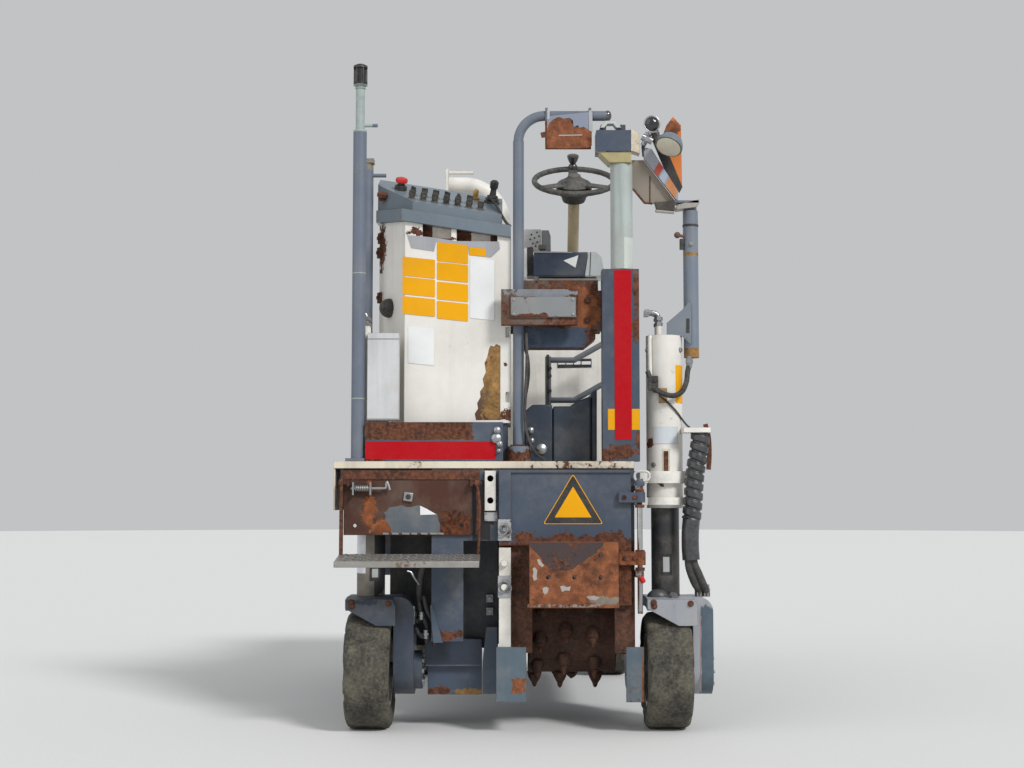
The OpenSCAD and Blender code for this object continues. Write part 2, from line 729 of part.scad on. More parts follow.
// Weight across the front, with two lashing lugs and the posts of the hood's hinge
module counterweight() color("slategray") {
    lug_x = 300;
    lug_z = 680;
    lug_t = 30;
    lug_d = 60;
    eye_d = 36;
    foot = frame_front + 12;
    face = nose_y - 20;
    top = deck_z - 40;
    lug_y = nose_y - lug_d / 2;
    difference() {
        union() {
            slab_x([mid_x - 460, mid_x + 460]) polygon([[frame_front, 575], [foot, 575], [foot, 770], [face, 830],
                [face, top - 30], [face - 20, top], [frame_front, top]]);
            for (s = [left, right]) {
                at = [mid_x + s * lug_x - lug_t / 2, mid_x + s * lug_x + lug_t / 2];
                bar_x(at, lug_y, lug_z, lug_d);
                span(at, [foot - past, lug_y], [lug_z - lug_d / 2, lug_z + lug_d / 2]);
            }
            for (x = hood_lugs, s = [left, right]) {
                at = [x + s * 25 - 8, x + s * 25 + 8];
                span(at, [hood_hinge[0] - 13, hood_hinge[0] + 13], [top - 10, hood_hinge[1]]);
                bar_x(at, hood_hinge[0], hood_hinge[1], 26);
            }
            for (x = hood_lugs) bar_x([x - 33, x + 33], hood_hinge[0], hood_hinge[1], pivot_d);
        }
        for (s = [left, right])
            bar_x([mid_x + s * lug_x - lug_t / 2 - past, mid_x + s * lug_x + lug_t / 2 + past], lug_y, lug_z, eye_d);
    }
}

// Plan of the console, with its corner cut back for the left column
module console_plan(grow) {
    inner = console_right + min(grow, 0);
    polygon([[-476 - grow, console_y - grow], [inner, console_y - grow], [inner, console_front + grow],
        [-600 - grow, console_front + grow], [-600 - grow, console_y + 250 - grow]]);
}

// Space above or below a sloping plane of the console's top, raised by an offset
module above_console(offset_z, tilt) {
    translate([console_right, console_y, console_top + offset_z]) rotate([tilt, console_roll, 0])
        translate([-1500, -1500, 0]) cube([3000, 3000, 1500]);
}
module below_console(offset_z, tilt) {
    translate([console_right, console_y, console_top + offset_z]) rotate([tilt, console_roll, 0])
        translate([-1500, -1500, -1500]) cube([3000, 3000, 1500]);
}

module control_console() color("white") {
    // Left and right ends and floor of the cut-outs below the cap
    notches = [[[-405, -290], 1950], [[-268, -104], 1930]];
    slot_z = [1310, 1570];
    difference() {
        translate([0, 0, console_z0]) linear_extrude(1100) console_plan(0);
        above_console(0, cap_tilt);
        for (notch = notches)
            span(notch[0], [console_y - past, console_y + 40], [notch[1], console_top + 300]);
        // Two slots in the right edge
        for (z = slot_z) span([-70, -56], [console_y - past, console_y + 15], [z - 20, z + 20]);
    }
}

module console_base() color("lightslategray") {
    union() {
        span([-622, -80], [rear, rear + 12], [deck_z, console_z0]);
        translate([0, 0, deck_z]) linear_extrude(console_z0 - deck_z) console_plan(-12);
        for (x = [-440, -140]) span([x, x + 12], [rear + 11, rear + 100], [deck_z, console_z0]);
    }
}

module control_panel() color("lightsteelblue") {
    switch_x = [-606, -86];
    switch_y = [console_y + 18, console_y + 340];
    union() {
        // Cap round the console's top edge
        difference() {
            translate([0, 0, console_z0]) linear_extrude(1200) console_plan(14);
            above_console(cap_h, cap_tilt);
            below_console(seat, cap_tilt);
        }
        // Switch box standing on the cap, its left corner drawn out to a tip
        difference() {
            translate([0, 0, console_z0]) linear_extrude(1200) polygon([[-448, switch_y[0]],
                [switch_x[1], switch_y[0]], [switch_x[1], switch_y[1]], [switch_x[0], switch_y[1]],
                [switch_x[0], console_y + 228]]);
            above_console(cap_h + switch_t, switch_tilt);
            below_console(cap_h - past, cap_tilt);
        }
    }
}

module document_box() color("lightgray") {
    back = column_y - column_d / 2 - seat;
    difference() {
        span([-618, -492], [rear + 14, back], [1214, 1561]);
        span([-610, -500], [rear + 22, back - 8], [1222, 1562]);
    }
}

module exhaust_pipe() color("white") {
    bend = 180;
    tube = 80;
    x = -92;
    y = -50;
    z = 2204;
    flange_x = x - bend - 72;
    union() {
        bar_z(x, y, [cowl_top, z], tube);
        translate([x - bend, y, z]) rotate([90, 0, 0]) rotate_extrude(angle = 90) translate([bend, 0]) circle(d = tube);
        bar_x([flange_x, x - bend], y, z + bend, tube);
        // Square flange with a handle on its top edge
        span([flange_x - 14, flange_x + past], [y - 61, y + 61], [z + bend - 61, z + bend + 70]);
        span([flange_x - 14, flange_x + 116], [y - 12, y + 12], [z + bend + 56, z + bend + 70]);
    }
}

module dashboard() color("darkslateblue") {
    union() {
        difference() {
            span([56, 377], [-190, -20], [1928, 2038]);
            bar_y(217, [-191, -160], 1985, 40);
        }
        span([6, 130], [-60, 40], [2038, 2140]);
    }
}

// Direction and places along the steering column
module along_column(distance) translate(wheel_hub) rotate([steer_lean, 0, 0]) translate([0, 0, -distance]) children();

module steering_column() color("tan") {
    difference() {
        union() {
            along_column(360) cylinder(h = 330, d = 52);
            along_column(31) cylinder(h = 62, d = 22);
        }
        span([0, 500], [-300, 200], [1800, 2038]);
    }
}

module steering_wheel() color("black") {
    rim_t = 26;
    along_column(0) difference() {
        union() {
            rotate_extrude($fn = fine) translate([steer_wheel_d / 2 - rim_t / 2, 0]) circle(d = rim_t, $fn = 24);
            translate([0, 0, -24]) cylinder(h = 44, d = 60);
            for (i = [0:2]) rotate(90 + i * 120) translate([20, -14, -8]) cube([steer_wheel_d / 2 - rim_t - 12, 28, 10]);
            translate([0, steer_wheel_d / 2 - rim_t / 2, 0]) cylinder(h = 60, d = 34);
        }
        translate([0, 0, -25]) cylinder(h = 58, d = 22 + 2 * running);
    }
}

module seat_bracket() color("saddlebrown") {
    box_y = [rear + 4, gooseneck_y - gooseneck_d / 2 - seat];
    frame_y = [gooseneck_y + gooseneck_d / 2 + seat, rear + 200];
    box_x = [-88, 216];
    box_z = [1592, 1734];
    web_x = [20, 60];
    union() {
        // Rusty frame between the gooseneck and the reflective post
        span([console_right + seat, tape_post_x[0] - seat], frame_y, [1576, 1740]);
        span([-29, tape_post_x[0] - 12], [frame_y[0], frame_y[0] + 14], [1740 - past, 1782]);
        slab_y(frame_y) polygon([[-26, 1577], [-26, 1540], [20, 1510], [245, 1510], [290, 1545], [290, 1577]]);
        // Box with its cover plate, behind the gooseneck
        difference() {
            span(box_x, box_y, box_z);
            span([box_x[0] + 14, box_x[1] - 14], [box_y[0] + 12, box_y[1] + past], [box_z[0] + 14, box_z[1] - 14]);
        }
        span([box_x[0] + 35, box_x[1] - 4], [box_y[0] - 6, box_y[0] + past], [1618, 1706]);
        span(web_x, [box_y[0] + 6, frame_y[0] + past], [box_z[0], box_z[1] - 6]);
        // Pan that carries the seat
        span([20, 290], [frame_y[1] - past, rear + 540], [1576, 1600]);
    }
}

module seat_cushion() color("black") {
    span([10, 300], [rear + 215, rear + 560], [1600 + seat, 1690]);
}

module footwell() color("darkslategray") {
    top = 1290;
    rib = 70;
    difference() {
        span([0, 300], [rear + 180, -310], [deck_z, top]);
        span([-past, 301], [rear + 240, -370], [deck_z - past, top - 28]);
        for (i = [0:2])
            span([60 + i * rib, 90 + i * rib], [rear + 180 - past, rear + 190], [deck_z + 30, top - 28]);
    }
}

// Two bent rails beside the operator, between a strip and a post
module guard_rails() color("gray") {
    rail_y = -330;
    rail_d = 26;
    strip_x = 118;
    bend_x = 235;
    post_x = 380;
    rails = [[1348, 1430], [1529, 1612]];
    rise = (rails[0][1] - rails[0][0]) / (post_x - bend_x);
    union() {
        bar_z(post_x, rail_y, [deck_z, rails[1][1] + 20], rail_d + 8);
        bar_z(strip_x, rail_y, [1290, rails[1][0] + 16], rail_d + 2);
        for (z = rails) {
            bar_x([strip_x, bend_x], rail_y, z[0], rail_d);
            translate([bend_x, rail_y, z[0]]) sphere(d = rail_d);
            translate([bend_x, rail_y, z[0]]) rotate([0, 90 - atan(rise), 0])
                cylinder(h = (post_x - bend_x) / cos(atan(rise)), d = rail_d);
        }
    }
}

module gooseneck_post() color("lightsteelblue") {
    bend = 105;
    top_d = 40;
    end_x = 337;
    union() {
        bar_z(gooseneck_x, gooseneck_y, [deck_z, deck_z + 60], 96);
        bar_z(gooseneck_x, gooseneck_y, [deck_z, gooseneck_z - bend], gooseneck_d);
        translate([gooseneck_x + bend, gooseneck_y, gooseneck_z - bend]) rotate([90, 0, 0]) rotate([0, 0, 90])
            rotate_extrude(angle = 90) translate([bend, 0]) circle(d = top_d);
        bar_x([gooseneck_x + bend, end_x], gooseneck_y, gooseneck_z, top_d);
        // Lamp plate under the top tube
        span([89, 274], [gooseneck_y - 5, gooseneck_y + 5], [2312, gooseneck_z]);
        for (x = [89, 264]) span([x, x + 10], [gooseneck_y - 24, gooseneck_y + 24], [gooseneck_z - 30, gooseneck_z + 28]);
    }
}

module reflector_post() color("lightslategray") {
    head_z = [2290, 2376];
    union() {
        span(tape_post_x, tape_post_y, [deck_z, tape_post_z]);
        bar_z(galv_x, rear + 58, [tape_post_z - past, 2260], 88);
        // Head box on a flared foot, with two clamp tabs
        span([292, 435], [rear + 5, rear + 110], head_z);
        slab_y([rear + 10, rear + 106]) polygon([[300, head_z[0] + past], [432, head_z[0] + past], [432, 2246],
            [345, 2246]]);
        for (x = [312, 390]) span([x, x + 22], [rear + 40, rear + 80], [2375, 2406]);
    }
}

module lamp_arm() color("gray") {
    union() {
        // Hollow board that slants down from the head box to the right post
        slab_y([rear + 60, rear + 85]) polygon([[435 + seat, 2376], [490, 2376], [711, 2110], [602, 2110 + seat],
            [435 + seat, 2270]]);
        slab_y([rear + 44, rear + 68]) polygon([[492, 2346], [480, 2302], [648, 2122], [662, 2156]]);
        // Rusty upright plate, and the two work lamps
        slab_y([rear + 72, rear + 92]) polygon([[565, 2370], [587, 2408], [624, 2365], [624, 2160], [540, 2258]]);
        bar_y(572, [rear - 20, rear + 54], 2303, 104);
        bar_y(502, [rear + 5, rear + 76], 2385, 62);
        // Tube under the board's lower end
        span([584, 640], [rear + 50, rear + 78], [2078, 2135]);
    }
}

module beacon_mast() color("lightsteelblue") {
    cage_d = 56;
    union() {
        span([mast_x - 46, mast_x + 30], [mast_y - 30, mast_y + 24], [deck_z, deck_z + 12]);
        bar_z(mast_x, mast_y, [deck_z, 2379], mast_d);
        bar_z(mast_x, mast_y, [2378, 2564], 36);
        bar_z(mast_x, mast_y, [2563, 2575], cage_d);
        bar_z(mast_x, mast_y, [2574, beacon_z - 8], 44);
        bar_z(mast_x, mast_y, [beacon_z - 9, beacon_z], cage_d);
        // Lever at the joint of the two tubes
        bar_x([mast_x, mast_x + 70], mast_y, 2400, 14);
    }
}

module left_post() color("gray") {
    at = [-645, rear + 280];
    union() {
        bar_z(at[0], at[1], [deck_z, 2300], 44);
        span([at[0] - 25, at[0] + 25], [at[1] - 25, at[1] + 25], [2299, 2318]);
        bar_x([at[0], at[0] + 75], at[1], 2250, 16);
    }
}

module right_post() color("gray") {
    post_d = 61;
    foot = [1472, 1512];
    union() {
        bar_z(right_post_x, post_y, [foot[0], right_post_z], post_d);
        bar_z(right_post_x, post_y, [right_post_z - past, right_post_z + 38], 34);
        span([602, 711], [post_y - 32, post_y + 32], [right_post_z + 30, right_post_z + 40 - seat]);
        // Gusset down to the column's top
        slab_y([post_y - 6, post_y + 6]) polygon([[582, column_z1], [right_post_x, column_z1], [right_post_x, 1692]]);
    }
}

module folding_step() color("gray") {
    straps = step_straps;
    axis_y = step_axis[0];
    axis_z = step_axis[1];
    difference() {
        union() {
            for (x = straps) {
                span(x, [axis_y - 6, axis_y + 6], [step_z - step_t, axis_z]);
                bar_x(x, axis_y, axis_z, 34);
            }
            span([straps[0][0] + 10, straps[1][1] - 10], [axis_y - step_depth + 6, axis_y + 6], [step_z - step_t, step_z]);
        }
        for (x = straps) bar_x([x[0] - past, x[1] + past], axis_y, axis_z, pivot_d + 2 * running);
        span([straps[0][1] + 10, straps[1][0] - 10], [axis_y - step_depth + 30, axis_y - 20],
            [step_z - step_t - past, step_z - 6]);
    }
}

chassis_frame();
deck_plate();
rear_left_panel();
lashing_plate();
hydraulic_tank();
drum_housing();
drum_drive();
milling_drum();
side_plates();
scraper_door();
door_hinge_rod();
latch_bar();
column_left();
column_right();
leg_left();
leg_right();
carrier_left();
carrier_right();
tyre_rear_left();
rim_rear_left();
tyre_rear_right();
rim_rear_right();
front_axle();
knuckle_left();
knuckle_right();
tie_rod();
tyre_front_left();
rim_front_left();
tyre_front_right();
rim_front_right();
engine_hood();
cowl();
engine_block();
radiator();
counterweight();
control_console();
console_base();
control_panel();
document_box();
exhaust_pipe();
dashboard();
steering_column();
steering_wheel();
seat_bracket();
seat_cushion();
footwell();
guard_rails();
gooseneck_post();
reflector_post();
lamp_arm();
beacon_mast();
left_post();
right_post();
folding_step();
hoses_left();
hoses_right();
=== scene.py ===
"""Dresses a compact wheeled cold planer, seen from behind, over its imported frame.

Every length is in metres, with X to the machine's right, Y forward and Z up.
"""
import json
import logging
import math
from dataclasses import dataclass
from enum import Enum
from typing import Callable, ClassVar, Iterable, Optional, Sequence, Union

import bmesh
import bpy
from mathutils import Euler, Matrix, Vector, noise
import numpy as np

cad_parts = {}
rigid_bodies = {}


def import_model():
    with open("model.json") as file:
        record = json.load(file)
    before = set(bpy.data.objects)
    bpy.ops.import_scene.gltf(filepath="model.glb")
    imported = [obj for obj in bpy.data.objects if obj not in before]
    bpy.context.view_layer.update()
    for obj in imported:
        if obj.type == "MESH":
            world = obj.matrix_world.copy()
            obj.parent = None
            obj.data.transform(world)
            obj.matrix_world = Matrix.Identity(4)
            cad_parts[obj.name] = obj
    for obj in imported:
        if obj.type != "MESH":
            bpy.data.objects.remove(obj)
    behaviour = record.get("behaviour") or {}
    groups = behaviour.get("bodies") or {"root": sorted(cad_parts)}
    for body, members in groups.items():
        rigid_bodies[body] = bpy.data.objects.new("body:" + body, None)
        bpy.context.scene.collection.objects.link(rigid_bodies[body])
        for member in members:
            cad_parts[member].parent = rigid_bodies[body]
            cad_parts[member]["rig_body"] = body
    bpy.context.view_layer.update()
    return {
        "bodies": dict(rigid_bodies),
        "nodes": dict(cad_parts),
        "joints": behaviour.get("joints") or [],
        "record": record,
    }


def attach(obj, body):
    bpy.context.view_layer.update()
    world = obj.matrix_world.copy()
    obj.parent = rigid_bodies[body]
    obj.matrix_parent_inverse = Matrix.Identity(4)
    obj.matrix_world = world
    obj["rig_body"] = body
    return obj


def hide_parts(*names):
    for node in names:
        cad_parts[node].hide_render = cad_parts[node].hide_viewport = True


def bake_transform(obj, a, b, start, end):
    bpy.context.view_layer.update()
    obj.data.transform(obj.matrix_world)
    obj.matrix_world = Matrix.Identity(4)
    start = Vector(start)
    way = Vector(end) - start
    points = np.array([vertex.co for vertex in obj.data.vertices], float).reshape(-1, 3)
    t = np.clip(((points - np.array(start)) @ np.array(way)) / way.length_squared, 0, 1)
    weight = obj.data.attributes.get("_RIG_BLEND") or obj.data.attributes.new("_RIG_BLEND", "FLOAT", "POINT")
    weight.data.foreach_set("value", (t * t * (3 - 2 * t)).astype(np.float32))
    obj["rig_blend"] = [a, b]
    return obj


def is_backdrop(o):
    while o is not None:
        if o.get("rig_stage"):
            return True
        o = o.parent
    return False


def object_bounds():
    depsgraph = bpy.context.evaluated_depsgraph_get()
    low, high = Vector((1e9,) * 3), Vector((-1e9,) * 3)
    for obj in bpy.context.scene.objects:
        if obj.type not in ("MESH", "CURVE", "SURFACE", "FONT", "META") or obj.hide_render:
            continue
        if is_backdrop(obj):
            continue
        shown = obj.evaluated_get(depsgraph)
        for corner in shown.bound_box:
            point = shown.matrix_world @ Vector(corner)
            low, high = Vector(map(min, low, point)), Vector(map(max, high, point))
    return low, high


LOG = logging.getLogger("planer")
Pair = tuple[float, float]
Point = tuple[float, float, float]
Colour = tuple[float, float, float]
Socket = bpy.types.NodeSocket
Value = Union[float, Point, Socket]

# The camera of the photograph: its place, its pitch in degrees, and its focal length in pixels.
CAMERA_AT: Point = (-0.045, -7.18, 0.90)
CAMERA_PITCH = 4.35
FOCAL_PIXELS = 1525
PHOTO_MIDDLE: Pair = (512, 384)

RIGHT: Point = (1, 0, 0)
REARWARD: Point = (0, -1, 0)
FORWARD: Point = (0, 1, 0)
UP: Point = (0, 0, 1)
ORIGIN: Point = (0, 0, 0)


class Tone(Enum):
    """Base colours of the machine's paints and metals, in linear light."""

    WHITE = (0.78, 0.755, 0.70)
    CREAM = (0.68, 0.61, 0.48)
    SLATE = (0.052, 0.072, 0.108)
    STEEL_GREY = (0.20, 0.215, 0.235)
    PALE_GREY = (0.42, 0.43, 0.44)
    DARK = (0.018, 0.018, 0.020)
    RUST = (0.085, 0.028, 0.014)
    RUST_BRIGHT = (0.235, 0.080, 0.032)
    RUST_DARK = (0.020, 0.0085, 0.006)
    YELLOW = (0.78, 0.36, 0.003)
    RED = (0.40, 0.002, 0.008)
    ORANGE = (0.60, 0.17, 0.030)
    BEIGE = (0.24, 0.205, 0.165)
    # Pale beige of the fields at the back of the console's recess, lifted above the white paint: painted
    # light against the recess's shade.
    PAINTED_LIGHT_STONE = (0.74, 0.68, 0.60)
    SHEET = (0.62, 0.63, 0.66)
    DUST = (0.30, 0.27, 0.22)
    OCHRE = (0.30, 0.165, 0.055)
    OLIVE = (0.40, 0.345, 0.175)
    TUBE = (0.33, 0.39, 0.365)
    BLUE = (0.026, 0.036, 0.056)
    TEAL = (0.085, 0.120, 0.150)
    ZINC = (0.40, 0.41, 0.42)
    CHROME = (0.62, 0.62, 0.61)
    LENS = (0.62, 0.58, 0.46)


def shade(colour: Colour, factor: float, lift: float = 0.0) -> Colour:
    """A colour made lighter or darker, and lifted by a plain amount."""
    return tuple(min(1.0, c * factor + lift) for c in colour)


@dataclass(frozen=True)
class Spot:
    """A place with another surface, within a round or square block with a ragged edge.

    Attributes:
        at: middle of the block.
        size: half its size along X, Y and Z.
        ragged: how far the edge wanders.
        tone: the surface there, or None for old rust.
        square: True for a square block.
    """

    at: Point
    size: Point
    ragged: float = 0.55
    tone: Optional[Tone] = None
    square: bool = False


class Nodes:
    """Small builder for one material's node tree."""

    def __init__(self, name: str, seed: float = 0.0) -> None:
        """Starts an empty material with a Principled shader.

        Args:
            name: the material's name.
            seed: moves every pattern in it.
        """
        self.material = bpy.data.materials.new(name)
        self.material.use_nodes = True
        self.tree = self.material.node_tree
        self.tree.nodes.clear()
        self.seed = seed
        out = self.add("ShaderNodeOutputMaterial")
        self.shader = self.add("ShaderNodeBsdfPrincipled")
        self.join(self.shader.outputs[0], out.inputs[0])
        self.coords = self.add("ShaderNodeTexCoord").outputs["Object"]
        self.rounded: Optional[Socket] = None

    def add(self, kind: str, **inputs: float) -> bpy.types.Node:
        """A new node of a kind, with the plain values of some inputs.

        Args:
            kind: Blender's name of the node type.
            **inputs: values by input name.

        Returns:
            The node.
        """
        node = self.tree.nodes.new(kind)
        for name, value in inputs.items():
            node.inputs[name].default_value = value
        return node

    def join(self, source: Socket, target: Socket) -> None:
        """Links one socket to another."""
        self.tree.links.new(source, target)

    def put(self, target: Socket, value: Value) -> None:
        """Links a socket, or sets a plain value.

        Args:
            target: the input.
            value: a socket, a number or a colour.
        """
        if isinstance(value, Socket):
            self.join(value, target)
        elif target.type == "RGBA" and len(value) == 3:
            target.default_value = (*value, 1.0)
        else:
            target.default_value = value

    def calc(self, op: str, a: Value, b: Value, clamp: bool = False) -> Socket:
        """A Math node's output.

        Args:
            op: its operation.
            a: the first number.
            b: the second number.
            clamp: True to keep the result between 0 and 1.

        Returns:
            The result.
        """
        node = self.add("ShaderNodeMath")
        node.operation = op
        node.use_clamp = clamp
        self.put(node.inputs[0], a)
        self.put(node.inputs[1], b)
        return node.outputs[0]

    def times(self, a: Value, b: Value, clamp: bool = False) -> Socket:
        """The product of two numbers."""
        return self.calc("MULTIPLY", a, b, clamp)

    def plus(self, a: Value, b: Value, clamp: bool = False) -> Socket:
        """The sum of two numbers."""
        return self.calc("ADD", a, b, clamp)

    def minus(self, a: Value, b: Value) -> Socket:
        """The first number less the second."""
        return self.calc("SUBTRACT", a, b)

    def most(self, a: Value, b: Value) -> Socket:
        """The larger of two numbers."""
        return self.calc("MAXIMUM", a, b)

    def vector(self, op: str, a: Value, b: Value = ORIGIN) -> Socket:
        """A Vector Math node's output.

        Args:
            op: its operation.
            a: the first vector.
            b: the second vector.

        Returns:
            A vector, or a number for LENGTH and DOT_PRODUCT.
        """
        node = self.add("ShaderNodeVectorMath")
        node.operation = op
        self.put(node.inputs[0], a)
        self.put(node.inputs[1], b)
        return node.outputs["Value" if op in ("LENGTH", "DOT_PRODUCT") else "Vector"]

    def noise(self, scale: float, detail: float, rough: float, stretch: Point = (1, 1, 1),
              shift: float = 0.0) -> Socket:
        """Fractal noise on object coordinates.

        Args:
            scale: cells to the metre.
            detail: octaves.
            rough: weight of the fine octaves.
            stretch: factors on the three coordinates, below 1 for long streaks.
            shift: moves the pattern, so that two patterns of a material differ.

        Returns:
            The noise, about 0 to 1.
        """
        away = self.seed + shift
        place = self.vector("MULTIPLY", self.vector("ADD", self.coords, (away, away * 0.7, -away)), stretch)
        node = self.add("ShaderNodeTexNoise", Scale=scale, Detail=detail, Roughness=rough)
        self.join(place, node.inputs["Vector"])
        return node.outputs["Fac"]

    def step(self, value: Value, low: float, high: float) -> Socket:
        """0 below low, 1 above high, smooth between.

        Args:
            value: the number that is compared.
            low: where the step starts.
            high: where it ends.

        Returns:
            The step.
        """
        node = self.tree.nodes.new("ShaderNodeMapRange")
        node.interpolation_type = "SMOOTHSTEP"
        self.put(node.inputs["Value"], value)
        node.inputs["From Min"].default_value = low
        node.inputs["From Max"].default_value = high
        return node.outputs["Result"]

    def mix(self, factor: Value, a: Value, b: Value) -> Socket:
        """A colour between two others.

        Args:
            factor: 0 for the first, 1 for the second.
            a: the first colour.
            b: the second colour.

        Returns:
            The mixed colour.
        """
        node = self.add("ShaderNodeMix")
        node.data_type = "RGBA"
        self.put(node.inputs[0], factor)
        self.put(node.inputs[6], a)
        self.put(node.inputs[7], b)
        return node.outputs[2]

    def edges(self, radius: float) -> Socket:
        """Finds sharp edges, and keeps the rounded normal for bump().

        Args:
            radius: how far from an edge it reaches.

        Returns:
            1 at sharp edges, 0 on flat faces.
        """
        node = self.add("ShaderNodeBevel", Radius=radius)
        node.samples = 4
        self.rounded = node.outputs[0]
        level = self.add("ShaderNodeNewGeometry").outputs["Normal"]
        return self.minus(1.0, self.vector("DOT_PRODUCT", self.rounded, level))

    def bump(self, height: Socket, distance: float) -> None:
        """Drives the shader's normal from a height, over the rounded normal if there is one.

        Args:
            height: the relief, 0 to 1.
            distance: its depth.
        """
        node = self.add("ShaderNodeBump", Distance=distance, Strength=1.0)
        self.join(height, node.inputs["Height"])
        if self.rounded is not None:
            self.join(self.rounded, node.inputs["Normal"])
        self.join(node.outputs[0], self.shader.inputs["Normal"])

    def inside(self, spot: Spot, wander: Socket) -> Socket:
        """Finds the inside of a spot.

        Args:
            spot: the place.
            wander: noise about 0 to 1 that makes its edge ragged.

        Returns:
            1 inside the spot and 0 outside it.
        """
        away = self.vector("DIVIDE", self.vector("SUBTRACT", self.coords, spot.at), spot.size)
        if spot.square:
            parts = self.add("ShaderNodeSeparateXYZ")
            self.join(self.vector("ABSOLUTE", away), parts.inputs[0])
            far = self.most(self.most(parts.outputs[0], parts.outputs[1]), parts.outputs[2])
        else:
            far = self.vector("LENGTH", away)
        far = self.plus(far, self.times(self.minus(wander, 0.5), spot.ragged * 7.5))
        return self.minus(1.0, self.step(far, 0.97, 1.03))

    def rust(self) -> Socket:
        """The many-toned brown of old rust."""
        coarse = self.step(self.noise(9.0, 6.0, 0.65), 0.32, 0.68)
        fine = self.step(self.noise(70.0, 5.0, 0.7), 0.38, 0.66)
        tone = self.mix(coarse, Tone.RUST_DARK.value, Tone.RUST.value)
        return self.mix(self.times(fine, 0.55), tone, Tone.RUST_BRIGHT.value)


@dataclass(frozen=True)
class Finish:
    """A surface that pieces and nodes are dressed in.

    Attributes:
        name: the material's name.
        colour: the clean surface's colour.
        seed: moves every pattern.
    """

    name: str
    colour: Colour
    seed: float = 0.0
    made: ClassVar[dict[str, bpy.types.Material]] = {}

    def fill(self, n: Nodes) -> None:
        """Builds the nodes of this kind of surface in n."""
        raise NotImplementedError

    def material(self) -> bpy.types.Material:
        """The finish's material, made once for its name."""
        if self.name not in Finish.made:
            n = Nodes(self.name, self.seed)
            self.fill(n)
            Finish.made[self.name] = n.material
        return Finish.made[self.name]


@dataclass(frozen=True)
class Paint(Finish):
    """Weathered paint over steel, with rust at the edges, chips and worn spots.

    Attributes:
        wear: 0 for whole paint, 1 for paint that is nearly gone.
        edge: width of the worn edges.
        grime: how far dust and dirt cover the paint.
        rough: roughness of the paint.
        spots: places where the paint has gone.
        shine: strength of the paint's reflection.
    """

    wear: float = 0.25
    edge: float = 0.004
    grime: float = 0.35
    rough: float = 0.42
    spots: tuple[Spot, ...] = ()
    shine: float = 0.4

    def fill(self, n: Nodes) -> None:
        """Builds paint, dirt, chips, spots and relief.

        Args:
            n: the material's nodes.
        """
        wide = n.noise(2.6, 5.0, 0.6)
        fine = n.noise(38.0, 7.0, 0.72)
        streak = n.noise(16.0, 4.0, 0.6, (1.0, 1.0, 0.09), 3.0)
        paint = n.mix(n.step(wide, 0.3, 0.75), self.colour, shade(self.colour, 0.82))
        dirt = n.times(n.step(streak, 0.46, 0.78), self.grime)
        dust = n.times(n.step(n.noise(5.5, 8.0, 0.7, shift=9.0), 0.42, 0.72), self.grime * 0.7)
        dusty = n.mix(dirt, paint, shade(self.colour, 0.42, 0.03))
        dusty = n.mix(dust, dusty, Tone.DUST.value)
        gone = n.plus(n.times(wide, 0.75), n.times(fine, 0.6))
        reach = self.wear * 0.28
        chips = n.step(gone, 0.93 - reach, 0.96 - reach)
        halo = n.step(gone, 0.86 - reach, 0.98 - reach)
        edge = n.edges(self.edge)
        worn = n.step(n.plus(edge, n.times(fine, 0.5)), 0.42 - self.wear * 0.1, 0.5)
        mask = n.most(chips, worn)
        rust = n.rust()
        stained = n.mix(n.times(halo, 0.45), dusty, Tone.RUST.value)
        over = []
        if self.spots:
            wander = n.plus(n.times(n.noise(11.0, 8.0, 0.72), 0.6), n.times(n.noise(48.0, 5.0, 0.7), 0.4))
            for spot in self.spots:
                there = n.inside(spot, wander)
                if spot.tone is None:
                    mask = n.most(mask, there)
                else:
                    over.append((there, spot.tone))
        colour = n.mix(mask, stained, rust)
        for there, tone in over:
            if tone in (Tone.RUST_BRIGHT, Tone.OCHRE):
                mask = n.most(mask, there)
                surface = self.flaking(n, tone.value, fine)
            else:
                surface = n.mix(n.times(self.blotch(n), 0.5), tone.value, shade(tone.value, 0.6))
            colour = n.mix(there, colour, surface)
        n.put(n.shader.inputs["Base Color"], colour)
        dull = n.times(mask, 0.42)
        n.put(n.shader.inputs["Roughness"], n.plus(dull, n.plus(self.rough, n.times(dust, 0.3))))
        n.shader.inputs["Specular IOR Level"].default_value = self.shine
        pit = n.times(n.noise(160.0, 4.0, 0.7), n.plus(mask, 0.12))
        n.bump(n.minus(n.times(pit, 0.6), n.times(mask, 0.35)), 0.0016)

    @staticmethod
    def blotch(n: Nodes) -> Socket:
        """Fine blotches, about 0 to 1."""
        return n.step(n.noise(30.0, 7.0, 0.75, shift=2.0), 0.36, 0.66)

    def flaking(self, n: Nodes, tone: Colour, fine: Socket) -> Socket:
        """Scaly rust in one of the brighter tones.

        Args:
            n: the material's nodes.
            tone: the rust's main colour.
            fine: the paint's fine noise.

        Returns:
            The colour.
        """
        blotch = self.blotch(n)
        broad = n.step(n.noise(7.0, 6.0, 0.7, shift=4.0), 0.36, 0.64)
        brown = n.mix(broad, shade(tone, 0.35), shade(tone, 0.75))
        return n.mix(blotch, brown, n.mix(n.step(fine, 0.42, 0.60), tone, shade(tone, 1.35)))


